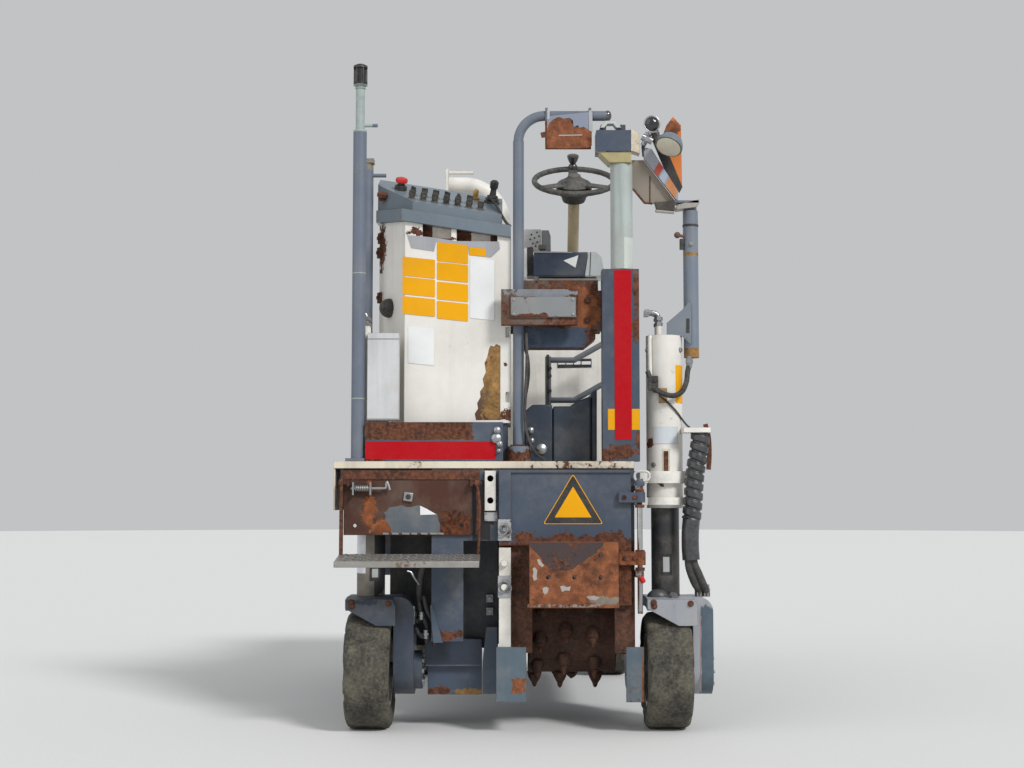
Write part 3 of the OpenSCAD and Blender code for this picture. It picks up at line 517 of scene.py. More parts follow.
@dataclass(frozen=True)
class Bare(Finish):
    """Bare or rusted metal.

    Attributes:
        rusty: 0 for clean metal, 1 for rust all over.
        rough: roughness of the clean metal.
        metal: metalness of the clean metal.
        dust: how far dust covers it.
        deep: how far its rust is darkened, for places in the shade.
    """

    rusty: float = 0.5
    rough: float = 0.35
    metal: float = 1.0
    dust: float = 0.0
    deep: float = 0.0

    def fill(self, n: Nodes) -> None:
        """Builds metal, rust, dust and relief.

        Args:
            n: the material's nodes.
        """
        patch = n.plus(n.times(n.noise(7.0, 6.0, 0.65), 0.6), n.times(n.noise(60.0, 6.0, 0.7), 0.4))
        reach = self.rusty * 0.45
        mask = n.step(patch, 0.70 - reach, 0.78 - reach)
        clean = n.mix(n.noise(24.0, 4.0, 0.6), self.colour, shade(self.colour, 0.7))
        colour = n.mix(mask, clean, n.mix(self.deep, n.rust(), Tone.RUST_DARK.value))
        if self.dust:
            grit = n.times(n.step(n.noise(11.0, 8.0, 0.75, shift=5.0), 0.40, 0.62), self.dust)
            colour = n.mix(grit, colour, Tone.DUST.value)
        n.put(n.shader.inputs["Base Color"], colour)
        n.put(n.shader.inputs["Metallic"], n.times(n.minus(1.0, mask), self.metal))
        n.put(n.shader.inputs["Roughness"], n.plus(self.rough, n.times(mask, 0.85 - self.rough)))
        n.bump(n.noise(140.0, 5.0, 0.7), 0.0005 + 0.0012 * self.rusty)


@dataclass(frozen=True)
class Soft(Finish):
    """Rubber, plastic or vinyl with dust and a fine grain.

    Attributes:
        dust: how far dust covers it.
        dust_colour: the dust's colour.
        rough: roughness.
        grain: cells to the metre of the bump.
        depth: depth of the bump.
        shine: strength of the reflection.
    """

    dust: float = 0.4
    dust_colour: Colour = Tone.DUST.value
    rough: float = 0.6
    grain: float = 300.0
    depth: float = 0.0004
    shine: float = 0.4

    def fill(self, n: Nodes) -> None:
        """Builds the clean surface, its dust and its grain.

        Args:
            n: the material's nodes.
        """
        patch = n.step(n.noise(9.0, 8.0, 0.72), 0.34, 0.68)
        fleck = n.step(n.noise(85.0, 6.0, 0.7), 0.45, 0.62)
        cover = n.times(n.plus(n.times(patch, 0.75), n.times(fleck, 0.35)), self.dust, clamp=True)
        n.put(n.shader.inputs["Base Color"], n.mix(cover, self.colour, self.dust_colour))
        n.put(n.shader.inputs["Roughness"], n.plus(self.rough, n.times(cover, 0.3), clamp=True))
        n.shader.inputs["Specular IOR Level"].default_value = self.shine
        n.bump(n.noise(self.grain, 4.0, 0.6), self.depth)


def frame_of(axis: Vector) -> Matrix:
    """A turn that takes Z to the axis."""
    return axis.normalized().to_track_quat("Z", "Y").to_matrix().to_4x4()


def seen(px: float, py: float, y: float) -> Point:
    """The place that the photograph, 1024 by 768, shows at a pixel.

    Args:
        px: pixels from the left.
        py: pixels from the top.
        y: depth of the place.

    Returns:
        The place.
    """
    pitch = math.radians(CAMERA_PITCH)
    rise = (PHOTO_MIDDLE[1] - py) / FOCAL_PIXELS
    reach = (y - CAMERA_AT[1]) / (math.cos(pitch) - rise * math.sin(pitch))
    return ((px - PHOTO_MIDDLE[0]) / FOCAL_PIXELS * reach + CAMERA_AT[0], y,
            CAMERA_AT[2] + (math.sin(pitch) + rise * math.cos(pitch)) * reach)


def flat(pixels: Sequence[Pair], y: float) -> list[Pair]:
    """X and Z of the photograph's pixels at depth y."""
    return [(p[0], p[2]) for p in (seen(px, py, y) for px, py in pixels)]


def circle(count: int) -> list[float]:
    """The angles of a full turn in equal steps."""
    return [2 * math.pi * i / count for i in range(count)]


def rounded(outline: Sequence[Pair], radius: float, steps: int = 4) -> list[Pair]:
    """Rounds off an outline's corners.

    Args:
        outline: the sharp corners.
        radius: distance along each side at which a corner starts to turn.
        steps: pieces to a corner.

    Returns:
        The new outline.
    """
    out = []
    n = len(outline)
    for i, corner in enumerate(outline):
        c = Vector(corner)
        a = c + (Vector(outline[i - 1]) - c).normalized() * radius
        b = c + (Vector(outline[(i + 1) % n]) - c).normalized() * radius
        for k in range(steps + 1):
            t = k / steps
            out.append(tuple(a * (1 - t) ** 2 + c * 2 * t * (1 - t) + b * t * t))
    return out


def smooth_path(points: Sequence[Point], steps: int = 6) -> list[Vector]:
    """A Catmull-Rom curve through the points.

    Args:
        points: the places it passes.
        steps: pieces between two places.

    Returns:
        The points of the curve.
    """
    p = [Vector(v) for v in points]
    p = [p[0] * 2 - p[1], *p, p[-1] * 2 - p[-2]]
    out = []
    for i in range(1, len(p) - 2):
        for k in range(steps):
            t = k / steps
            out.append(0.5 * (2 * p[i] + (p[i + 1] - p[i - 1]) * t
                + (2 * p[i - 1] - 5 * p[i] + 4 * p[i + 1] - p[i + 2]) * t * t
                + (3 * p[i] - p[i - 1] - 3 * p[i + 1] + p[i + 2]) * t ** 3))
    out.append(p[-2])
    return out


def placed(name: str, data: bpy.types.ID) -> bpy.types.Object:
    """A new object in the scene.

    Args:
        name: its name.
        data: its mesh, camera or light.

    Returns:
        The object, at the origin.
    """
    thing = bpy.data.objects.new(name, data)
    bpy.context.scene.collection.objects.link(thing)
    return thing


def enlist(piece: bpy.types.Object, body: str) -> bpy.types.Object:
    """Makes a piece ride on its CAD body.

    Args:
        piece: the finished piece.
        body: the body's name.

    Returns:
        The piece.
    """
    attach(piece, body)
    LOG.info("made %s with %d faces", piece.name, len(piece.data.polygons))
    return piece


class Form:
    """Collects closed shapes in one mesh, in the machine's own place."""

    def __init__(self) -> None:
        """Starts an empty mesh."""
        self.mesh = bmesh.new()

    def corner(self, at: Point) -> bmesh.types.BMVert:
        """A new vertex."""
        return self.mesh.verts.new(at)

    def ring(self, centre: Vector, turn: Matrix, radius: float, sides: int) -> list[bmesh.types.BMVert]:
        """A ring of vertices square to the turn's Z.

        Args:
            centre: its middle.
            turn: the turn that gives its plane.
            radius: its radius.
            sides: how many vertices it has.

        Returns:
            The vertices.
        """
        level = turn.to_3x3()
        return [self.corner(centre + level @ Vector((radius * math.cos(a), radius * math.sin(a), 0)))
                for a in circle(sides)]

    def skin(self, rings: Sequence[list], close: bool = True) -> "Form":
        """Joins rings of vertices with faces.

        Args:
            rings: the rings, each as long as the others.
            close: True to close both ends.

        Returns:
            The form itself.
        """
        for low, high in zip(rings, rings[1:]):
            n = len(low)
            for k in range(n):
                self.mesh.faces.new((low[k], low[(k + 1) % n], high[(k + 1) % n], high[k]))
        if close:
            self.mesh.faces.new(list(reversed(rings[0])))
            self.mesh.faces.new(rings[-1])
        return self

    def moved(self, matrix: Matrix) -> "Form":
        """Moves everything in the form by a matrix."""
        bmesh.ops.transform(self.mesh, matrix=matrix, verts=self.mesh.verts)
        return self

    def box(self, low: Point, high: Point, turn: Optional[Matrix] = None) -> "Form":
        """A block between two corners.

        Args:
            low: its lowest corner.
            high: its highest corner.
            turn: a turn about its middle.

        Returns:
            The form itself.
        """
        low, high = Vector(low), Vector(high)
        place = Matrix.Translation((low + high) / 2) @ (turn or Matrix.Identity(4))
        bmesh.ops.create_cube(self.mesh, size=1.0, matrix=place @ Matrix.Diagonal((*(high - low), 1)))
        return self

    def rod(self, a: Point, b: Point, radius: float, end: Optional[float] = None, sides: int = 24) -> "Form":
        """A cylinder or a cone.

        Args:
            a: middle of its first end.
            b: middle of its other end.
            radius: radius of the first end.
            end: radius of the other end, if it differs.
            sides: faces round it.

        Returns:
            The form itself.
        """
        a, b = Vector(a), Vector(b)
        turn = frame_of(b - a)
        return self.skin([self.ring(a, turn, radius, sides),
            self.ring(b, turn, radius if end is None else end, sides)])

    def lathe(self, at: Point, axis: Point, profile: Sequence[Pair], sides: int = 48) -> "Form":
        """Turns a profile round an axis, closed at both ends.

        Args:
            at: where the heights start.
            axis: its direction.
            profile: (height, radius) pairs.
            sides: faces round it.

        Returns:
            The form itself.
        """
        return self.skin(self.turned(at, axis, [(h, max(r, 1e-4)) for h, r in profile], sides))

    def hoop(self, at: Point, axis: Point, profile: Sequence[Pair], sides: int = 96) -> "Form":
        """Turns a closed outline round an axis, like a tyre; see lathe() for the arguments."""
        rings = self.turned(at, axis, profile, sides)
        return self.skin(rings + rings[:1], close=False)

    def turned(self, at: Point, axis: Point, profile: Sequence[Pair], sides: int) -> list[list]:
        """The rings of vertices of lathe() and hoop(), which say what the arguments are."""
        turn = frame_of(Vector(axis))
        along = turn.to_3x3() @ Vector(UP)
        return [self.ring(Vector(at) + along * h, turn, r, sides) for h, r in profile]

    def prism(self, outline: Sequence[Pair], y: Pair, upright: bool = True) -> "Form":
        """An outline given a thickness.

        Args:
            outline: its corners, either way round.
            y: start and end along the third axis.
            upright: True for an outline in X and Z, False for one in X and Y.

        Returns:
            The form itself.
        """
        return self.skin([[self.corner((u, w, v) if upright else (u, v, w)) for u, v in outline] for w in y])

    def plate(self, pixels: Sequence[Pair], y: float, thick: float) -> "Form":
        """A plate with the outline that the photograph shows, from depth y forward."""
        return self.prism(flat(pixels, y), (y, y + thick))

    def slab(self, corners: Sequence[Point], push: Point) -> "Form":
        """A flat shape through any corners, given a thickness along push."""
        return self.skin([[self.corner(Vector(c) + Vector(push) * k) for c in corners] for k in (0, 1)])

    def tube(self, path: Sequence[Vector], radius: float, sides: int = 14,
             swell: Optional[Callable[[int, int], float]] = None) -> "Form":
        """A round tube along a path.

        Args:
            path: the points of its middle line.
            radius: its radius.
            sides: faces round it.
            swell: the factor on the radius at corner k of ring i.

        Returns:
            The form itself.
        """
        path = [Vector(p) for p in path]
        side = None
        rings = []
        for i, p in enumerate(path):
            way = (path[min(i + 1, len(path) - 1)] - path[max(i - 1, 0)]).normalized()
            side = way.orthogonal().normalized() if side is None else side
            side = (side - way * side.dot(way)).normalized()
            other = way.cross(side)
            rings.append([self.corner(p + (side * math.cos(a) + other * math.sin(a)) * radius
                * (swell(i, k) if swell else 1.0)) for k, a in enumerate(circle(sides))])
        return self.skin(rings)

    def wire(self, path: Sequence[Point], radius: float, sides: int = 8) -> "Form":
        """A closed loop of wire.

        Args:
            path: the points of its middle line, all round.
            radius: its radius.
            sides: faces round it.

        Returns:
            The form itself.
        """
        points = [Vector(p) for p in path]
        middle = sum(points, Vector()) / len(points)
        rings = []
        for i, p in enumerate(points):
            way = (points[(i + 1) % len(points)] - points[i - 1]).normalized()
            out = p - middle
            out = (out - way * out.dot(way)).normalized()
            other = way.cross(out)
            rings.append([self.corner(p + (out * math.cos(a) + other * math.sin(a)) * radius)
                for a in circle(sides)])
        return self.skin(rings + rings[:1], close=False)

    def wrap(self, at: Pair, radius: float, angles: Pair, z: Pair, thick: float = 0.0012) -> "Form":
        """A thin patch on an upright tube.

        Args:
            at: the tube's axis in plan.
            radius: the tube's radius.
            angles: where the patch starts and ends, in degrees from the rear to the right.
            z: its lower and upper edge.
            thick: how far it stands out.

        Returns:
            The form itself.
        """
        steps = max(2, int(abs(angles[1] - angles[0]) / 7))
        inner, outer = radius - thick, radius + thick
        rings = []
        for i in range(steps + 1):
            a = math.radians(angles[0] + (angles[1] - angles[0]) * i / steps)
            rings.append([self.corner((at[0] + r * math.sin(a), at[1] - r * math.cos(a), h))
                          for r, h in ((inner, z[0]), (outer, z[0]), (outer, z[1]), (inner, z[1]))])
        return self.skin(rings)

    def ball(self, at: Point, radius: float, squash: Point = (1, 1, 1)) -> "Form":
        """A sphere.

        Args:
            at: its middle.
            radius: its radius.
            squash: factors on the radius along X, Y and Z.

        Returns:
            The form itself.
        """
        sides, steps = 24, 14
        place = Matrix.Translation(at) @ Matrix.Diagonal((*(radius * f for f in squash), 1))
        tilts = [math.pi * i / steps for i in range(1, steps)]
        rings = [self.ring(place @ Vector((0, 0, math.cos(t))), place, math.sin(t), sides) for t in tilts]
        self.skin(rings, close=False)
        for ring, end in ((rings[0], 1), (rings[-1], -1)):
            tip = self.corner(place @ Vector((0, 0, end)))
            for k in range(sides):
                self.mesh.faces.new((ring[k - 1], ring[k], tip))
        return self

    def bolt(self, at: Point, axis: Point, across: float, washer: bool = True) -> "Form":
        """A hex head.

        Args:
            at: middle of its foot.
            axis: the way it points.
            across: its width across the flats.
            washer: True to put it on a washer.

        Returns:
            The form itself.
        """
        at, axis = Vector(at), Vector(axis).normalized()
        if washer:
            self.rod(at, at + axis * across * 0.12, across * 0.72, sides=20)
        return self.rod(at + axis * across * 0.1, at + axis * across * 0.55, across * 0.577, across * 0.55,
            sides=6)

    def finished(self, name: str, angle: float) -> bpy.types.Mesh:
        """Turns the shapes into a mesh with its faces outwards, and lets go of them.

        Args:
            name: the mesh's name.
            angle: faces that meet more sharply than this, in degrees, keep their edge.

        Returns:
            The mesh.
        """
        bmesh.ops.recalc_face_normals(self.mesh, faces=self.mesh.faces)
        mesh = bpy.data.meshes.new(name)
        self.mesh.to_mesh(mesh)
        self.mesh.free()
        mesh.shade_smooth()
        mesh.set_sharp_from_angle(angle=math.radians(angle))
        return mesh

    def make(self, name: str, finish: Finish, body: str, slot: str = "", bevel: float = 0.0,
             angle: float = 38.0) -> bpy.types.Object:
        """Turns the shapes into one piece.

        Args:
            name: the piece's name.
            finish: its finish.
            body: the CAD body it rides on.
            slot: the record's material slot, if it has one; not used.
            bevel: width of its rounded edges.
            angle: faces that meet more sharply than this, in degrees, keep their edge.

        Returns:
            The piece.
        """
        mesh = self.finished(name, angle)
        mesh.materials.append(finish.material())
        piece = placed(name, mesh)
        if bevel:
            edge = piece.modifiers.new("edge", "BEVEL")
            edge.width = bevel
            edge.segments = 2
            edge.limit_method = "ANGLE"
            edge.angle_limit = math.radians(35)
        return enlist(piece, body)


@dataclass(frozen=True)
class Repeat:
    """Stamps one shape on many points with Geometry Nodes.

    Attributes:
        name: the piece's name.
        size: scale of the stamp.
        jitter: largest turn of a stamp about its own axis, in radians.
        seed: seed of the turns.
    """

    name: str
    size: float = 1.0
    jitter: float = 0.5
    seed: int = 3

    def tree(self, stamp: bpy.types.Object, material: bpy.types.Material) -> bpy.types.NodeTree:
        """Builds the node tree, with its sizes as named inputs.

        Args:
            stamp: the shape to repeat.
            material: its material.

        Returns:
            The tree.
        """
        tree = bpy.data.node_groups.new(self.name, "GeometryNodeTree")
        for label, way, kind in (("Points", "INPUT", "Geometry"), ("Size", "INPUT", "Float"),
                ("Jitter", "INPUT", "Float"), ("Pieces", "OUTPUT", "Geometry")):
            tree.interface.new_socket(label, in_out=way, socket_type="NodeSocket" + kind)
        add, join = tree.nodes.new, tree.links.new
        given, result = add("NodeGroupInput"), add("NodeGroupOutput")
        aim = add("GeometryNodeInputNamedAttribute")
        aim.data_type = "FLOAT_VECTOR"
        aim.inputs["Name"].default_value = "aim"
        turn = add("FunctionNodeAlignRotationToVector")
        turn.axis = "Z"
        join(aim.outputs[0], turn.inputs["Vector"])
        spin = add("FunctionNodeRandomValue")
        spin.data_type = "FLOAT"
        spin.inputs["Seed"].default_value = self.seed
        join(given.outputs["Jitter"], spin.inputs[3])
        euler = add("ShaderNodeCombineXYZ")
        join(spin.outputs[1], euler.inputs["Z"])
        roll = add("FunctionNodeRotateRotation")
        roll.rotation_space = "LOCAL"
        join(turn.outputs[0], roll.inputs["Rotation"])
        join(euler.outputs[0], roll.inputs["Rotate By"])
        source = add("GeometryNodeObjectInfo")
        source.inputs["Object"].default_value = stamp
        place = add("GeometryNodeInstanceOnPoints")
        join(given.outputs["Points"], place.inputs["Points"])
        join(source.outputs["Geometry"], place.inputs["Instance"])
        join(roll.outputs[0], place.inputs["Rotation"])
        join(given.outputs["Size"], place.inputs["Scale"])
        real = add("GeometryNodeRealizeInstances")
        join(place.outputs[0], real.inputs[0])
        paint = add("GeometryNodeSetMaterial")
        paint.inputs["Material"].default_value = material
        join(real.outputs[0], paint.inputs["Geometry"])
        join(paint.outputs[0], result.inputs[0])
        return tree

    def stamp(self, form: Form, spots: Iterable[tuple[Point, Point]], finish: Finish,
            body: str) -> bpy.types.Object:
        """Puts the form, which points along Z at the origin, on every spot.

        Args:
            form: the shape to repeat.
            spots: (place, direction) pairs.
            finish: the finish.
            body: the CAD body they ride on.

        Returns:
            The piece.
        """
        stamp = placed(self.name + "_stamp", form.finished(self.name + "_stamp", 35))
        spots = list(spots)
        cloud = bpy.data.meshes.new(self.name + "_points")
        cloud.from_pydata([at for at, _ in spots], [], [])
        aims = cloud.attributes.new("aim", "FLOAT_VECTOR", "POINT")
        for i, (_, aim) in enumerate(spots):
            aims.data[i].vector = aim
        carrier = placed(self.name + "_points", cloud)
        modifier = carrier.modifiers.new("stamp", "NODES")
        modifier.node_group = self.tree(stamp, finish.material())
        sizes = {"Size": self.size, "Jitter": self.jitter}
        for item in modifier.node_group.interface.items_tree:
            if item.name in sizes:
                modifier[item.identifier] = float(sizes[item.name])
        bpy.context.view_layer.update()
        done = bpy.data.meshes.new_from_object(carrier.evaluated_get(bpy.context.evaluated_depsgraph_get()))
        for name in [a.name for a in done.attributes if a.name == "aim"]:
            done.attributes.remove(done.attributes[name])
        for helper in (carrier, stamp):
            bpy.data.objects.remove(helper)
        if not done.materials:
            done.materials.append(finish.material())
        return enlist(placed(self.name, done), body)

    def bolts(self, across: float, spots: Iterable[tuple[Point, Point]], finish: Finish, body: str,
              sunk: float = 0.0) -> bpy.types.Object:
        """Puts a hex head on every spot.

        Args:
            across: its width across the flats.
            spots: (place, direction) pairs.
            finish: the finish.
            body: the CAD body they ride on.
            sunk: how far the washer is let in.

        Returns:
            The piece.
        """
        return self.stamp(Form().bolt((0, 0, -sunk), UP, across), spots, finish, body)

    def holes(self, radius: float, proud: float, sides: int, spots: Iterable[tuple[Point, Point]],
              body: str) -> bpy.types.Object:
        """Puts a dark disc on every spot, as a hole that can't be seen into.

        Args:
            radius: radius of a disc.
            proud: how far it stands out.
            sides: its corners.
            spots: (place, direction) pairs.
            body: the CAD body they ride on.

        Returns:
            The piece.
        """
        disc = Form().rod((0, 0, -0.001), (0, 0, proud), radius, sides=sides)
        return self.stamp(disc, spots, BLACK_BAND, body)


@dataclass
class Stage:
    """Pale floor, soft light, and the camera of the photograph.

    Attributes:
        lens: the camera's focal length in millimetres.
        sky: colour of the world's light.
        sky_power: its strength.
        floor_radius: radius of the floor.
    """

    lens: float = 53.6
    sky: Colour = (0.86, 0.88, 0.90)
    sky_power: float = 0.62
    floor_radius: float = 40.0

    def camera(self) -> None:
        """Makes the camera, level with the deck's underside and looking slightly up."""
        data = bpy.data.cameras.new("rear_camera")
        data.lens = self.lens
        data.sensor_width = 36.0
        eye = placed("rear_camera", data)
        eye.location = CAMERA_AT
        eye.rotation_euler = Euler((math.radians(90 + CAMERA_PITCH), 0.0, 0.0))
        bpy.context.scene.camera = eye

    def light(self) -> None:
        """A soft sun from the right behind the camera, a weak one from the left, and a pale sky."""
        for name, turn, power, size in (("key", (52, 0, 38), 2.3, 14), ("fill", (60, 0, -55), 0.7, 60)):
            data = bpy.data.lights.new(name, "SUN")
            data.energy = power
            data.angle = math.radians(size)
            placed(name, data).rotation_euler = Euler([math.radians(v) for v in turn])
        world = bpy.data.worlds.new("sky")
        world.use_nodes = True
        background = world.node_tree.nodes["Background"]
        background.inputs[0].default_value = (*self.sky, 1)
        background.inputs[1].default_value = self.sky_power
        bpy.context.scene.world = world

    def floor(self) -> None:
        """A wide pale disc under the wheels."""
        form = bmesh.new()
        bmesh.ops.create_circle(form, cap_ends=True, radius=self.floor_radius, segments=64)
        mesh = bpy.data.meshes.new("floor")
        form.to_mesh(mesh)
        form.free()
        n = Nodes("pale_floor")
        grit = n.mix(n.noise(60.0, 6.0, 0.7), (0.60, 0.60, 0.59), (0.70, 0.70, 0.69))
        n.put(n.shader.inputs["Base Color"], grit)
        n.shader.inputs["Roughness"].default_value = 0.9
        mesh.materials.append(n.material)
        placed("floor", mesh)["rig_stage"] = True

    def build(self) -> None:
        """Makes the camera, the lights and the floor."""
        bpy.context.scene.view_settings.view_transform = "Standard"
        self.camera()
        self.light()
        self.floor()


@dataclass
class Assembly:
    """A part of the machine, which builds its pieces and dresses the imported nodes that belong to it.

    Attributes:
        nodes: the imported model's nodes, by name.
    """

    nodes: dict[str, bpy.types.Object]

    def build(self) -> None:
        """Makes every piece of the assembly."""
        raise NotImplementedError

    def dress(self, finish: Finish, *names: str) -> None:
        """Assigns a finish to every slot of some nodes.

        Args:
            finish: the finish.
            *names: the nodes.
        """
        for name in names:
            mesh = self.nodes[name].data
            if not mesh.materials:
                mesh.materials.append(finish.material())
            for i in range(len(mesh.materials)):
                mesh.materials[i] = finish.material()

    @staticmethod
    def cord(name: str, points: Sequence[Point], radius: float, stiffness: str, lay: str,
             sides: int = 10) -> bpy.types.Object:
        """A cord of the chassis that starts and ends in the machine.

        Args:
            name: the piece's name.
            points: the places it passes.
            radius: its radius.
            stiffness: limp, medium or stiff; not used.
            lay: how it lies; not used.
            sides: faces round it.

        Returns:
            The piece.
        """
        path = smooth_path(points, 8)
        cable = Form().tube(path, radius, sides).make(name, BLACK_RUBBER, "chassis")
        return cable


YELLOW_SIGN = Paint("yellow_sign", Tone.YELLOW.value, wear=0.02, edge=0.0008, grime=0.08, rough=0.5, seed=2.0,
    shine=0.15)
WHITE_SIGN = Paint("white_sign", (0.76, 0.76, 0.76), wear=0.0, edge=0.0008, grime=0.15, rough=0.5, seed=4.0)
RED_TAPE = Soft("red_tape", Tone.RED.value, dust=0.03, rough=0.45, grain=60.0, depth=0.0008, shine=0.12)
BLACK_BAND = Soft("black_band", (0.014, 0.014, 0.015), dust=0.15, rough=0.5)
BLACK_PLASTIC = Soft("black_plastic", (0.012, 0.012, 0.013), dust=0.3, rough=0.42, grain=420.0, depth=0.0002)
BLACK_RUBBER = Soft("black_rubber", (0.016, 0.016, 0.017), dust=0.5, dust_colour=(0.16, 0.15, 0.135),
    rough=0.6, grain=240.0, depth=0.0005)
RED_PLASTIC = Soft("red_plastic", (0.52, 0.012, 0.012), dust=0.1, rough=0.35)
ZINC = Bare("zinc_plated", Tone.ZINC.value, rusty=0.22, rough=0.36, metal=0.85)
CHROME = Bare("chrome", Tone.CHROME.value, rusty=0.0, rough=0.16)
GALVANISED = Bare("galvanised", (0.36, 0.37, 0.37), rusty=0.08, rough=0.44, metal=0.7, dust=0.2)
BRASS = Bare("brass_fitting", (0.46, 0.30, 0.10), rusty=0.18, rough=0.4)
RUSTY = Bare("rusty_steel", (0.24, 0.22, 0.20), rusty=1.0, rough=0.6)


@dataclass
class ConsoleFittings(Assembly):
    """Switches, signs and cap on the white control console.

    Attributes:
        corner: rear right corner of the console's body.
        slope: rise of the switch box's top along X and along Y.
        deck_up: height of the switch box above the corner.
        row_y: the two rows of switches.
        switch_x: first and last switch of a row.
        switches: switches in a row.
        face_y: rear face of the console.
        facet: X and Y of the rear edge of the slanted left facet, then of its front edge.
    """

    corner: Point = (-0.05, -1.10, 1.953)
    slope: Pair = (-0.1584, 0.4091)
    deck_up: float = 0.082
    row_y: Pair = (-1.036, -0.955)
    switch_x: Pair = (-0.455, -0.175)
    switches: int = 7
    face_y: float = -1.10
    facet: tuple[float, float, float, float] = (-0.476, -1.10, -0.600, -0.85)

    @property
    def up(self) -> Vector:
        """Square to the sloping top."""
        return Vector((-self.slope[0], -self.slope[1], 1.0)).normalized()

    def top(self, x: float, y: float, rise: float) -> Point:
        """A point over the sloping top, at a rise above it."""
        x0, y0, z0 = self.corner
        return (x, y, z0 + self.slope[0] * (x - x0) + self.slope[1] * (y - y0) + rise)

    def on_facet(self, along: float, z: float, out: float = 0.0) -> Point:
        """A point on the slanted left facet.

        Args:
            along: 0 at its rear edge, 1 at its front edge.
            z: height.
            out: how far the point stands out.

        Returns:
            The point.
        """
        x0, y0, x1, y1 = self.facet
        way = Vector((y0 - y1, x1 - x0, 0)).normalized()
        return (x0 + (x1 - x0) * along + way.x * out, y0 + (y1 - y0) * along + way.y * out, z)

    def switch_rows(self) -> None:
        """Black turning switches with zinc collars in two rows."""
        spots = []
        for row, y in enumerate(self.row_y):
            for i in range(self.switches - row):
                x = self.switch_x[0] + (self.switch_x[1] - self.switch_x[0]) * i / (self.switches - 1)
                spots.append((self.top(x, y, self.deck_up), tuple(self.up)))
        knob = Form().lathe((0, 0, -0.002), UP, [(0, 0.016), (0.006, 0.016), (0.009, 0.0115), (0.020, 0.0125),
            (0.027, 0.0105), (0.028, 0.0)], 18)
        knob.box((-0.003, -0.013, 0.018), (0.003, 0.013, 0.034))
        Repeat("console_switches", jitter=2.2, seed=5).stamp(knob, spots, BLACK_PLASTIC, "chassis")
        collar = Form().lathe((0, 0, -0.002), UP, [(0, 0.021), (0.004, 0.021), (0.005, 0.018)], 18)
        Repeat("console_collars").stamp(collar, spots, ZINC, "chassis")

    def stop_button(self) -> None:
        """Red mushroom button on a black foot, a brass fitting, and a lever boot."""
        at = Vector(self.top(-0.510, -0.90, self.deck_up))
        Form().lathe(at - self.up * 0.003, self.up,
            [(0, 0.026), (0.020, 0.026), (0.026, 0.015), (0.034, 0.015)],
            24).make("stop_foot", BLACK_PLASTIC, "chassis")
        Form().lathe(at + self.up * 0.032, self.up,
            [(0, 0.024), (0.010, 0.026), (0.018, 0.022), (0.022, 0.010), (0.023, 0)],
            32).make("stop_button", RED_PLASTIC, "chassis")
        at = Vector(self.top(-0.20, -0.86, self.deck_up))
        Form().lathe(at - self.up * 0.003, self.up,
            [(0, 0.020), (0.012, 0.020), (0.014, 0.012), (0.040, 0.012), (0.046, 0.008), (0.047, 0)],
            6).make("console_nipple", BRASS, "chassis")
        at = Vector(self.top(-0.13, -0.87, self.deck_up))
        Form().lathe(at - self.up * 0.003, self.up, [(0, 0.032), (0.006, 0.034), (0.012, 0.026),
            (0.018, 0.030), (0.024, 0.021), (0.030, 0.024), (0.036, 0.014), (0.060, 0.012), (0.066, 0.017),
            (0.090, 0.018), (0.098, 0.010), (0.099, 0)], 24).make("lever_boot", BLACK_RUBBER, "chassis")
        at = Vector((-0.585, -0.915, 2.145))
        Form().lathe(at - self.up * 0.003, self.up,
            [(0, 0.016), (0.012, 0.016), (0.016, 0.024), (0.030, 0.024), (0.034, 0.014), (0.035, 0)],
            12).make("corner_knob", RUSTY, "chassis")

    def signs(self) -> None:
        """Blank yellow and white plates in the grid of the photograph."""
        y = (self.face_y - 0.0020, self.face_y + 0.0006)
        yellow, white = Form(), Form()
        columns = ((402.4, 435.0, ((256.6, 275.4), (276.6, 294.0), (296.0, 313.6))),
                   (437.0, 468.0, ((242.0, 260.9), (262.0, 279.6), (281.5, 299.0), (300.8, 318.4))),
                   (469.0, 486.0, ((247.0, 255.0),)))
        for x0, x1, rows in columns:
            for top, bottom in rows:
                yellow.prism(self.label(x0, x1, top, bottom, 0.004), y)
        yellow.make("console_yellow_signs", YELLOW_SIGN, "chassis", "control_console")
        for x0, top, x1, bottom in ((470.0, 258.0, 494.5, 318.0), (408.0, 326.0, 434.0, 363.0)):
            white.prism(self.label(x0, x1, top, bottom, 0.005), y)
        white.make("console_white_signs", WHITE_SIGN, "chassis", "control_console")

    def label(self, x0: float, x1: float, top: float, bottom: float, radius: float) -> list[Pair]:
        """Outline of a label that slopes down to the right.

        Args:
            x0: its left edge, in the photograph's pixels.
            x1: its right edge.
            top: its upper left corner.
            bottom: its lower left corner.
            radius: radius of its corners, in metres.

        Returns:
            X and Z of the outline.
        """
        fall = 0.1 * (x1 - x0)
        return rounded(flat([(x0, bottom), (x1, bottom + fall), (x1, top + fall), (x0, top)], self.face_y),
            radius, 2)

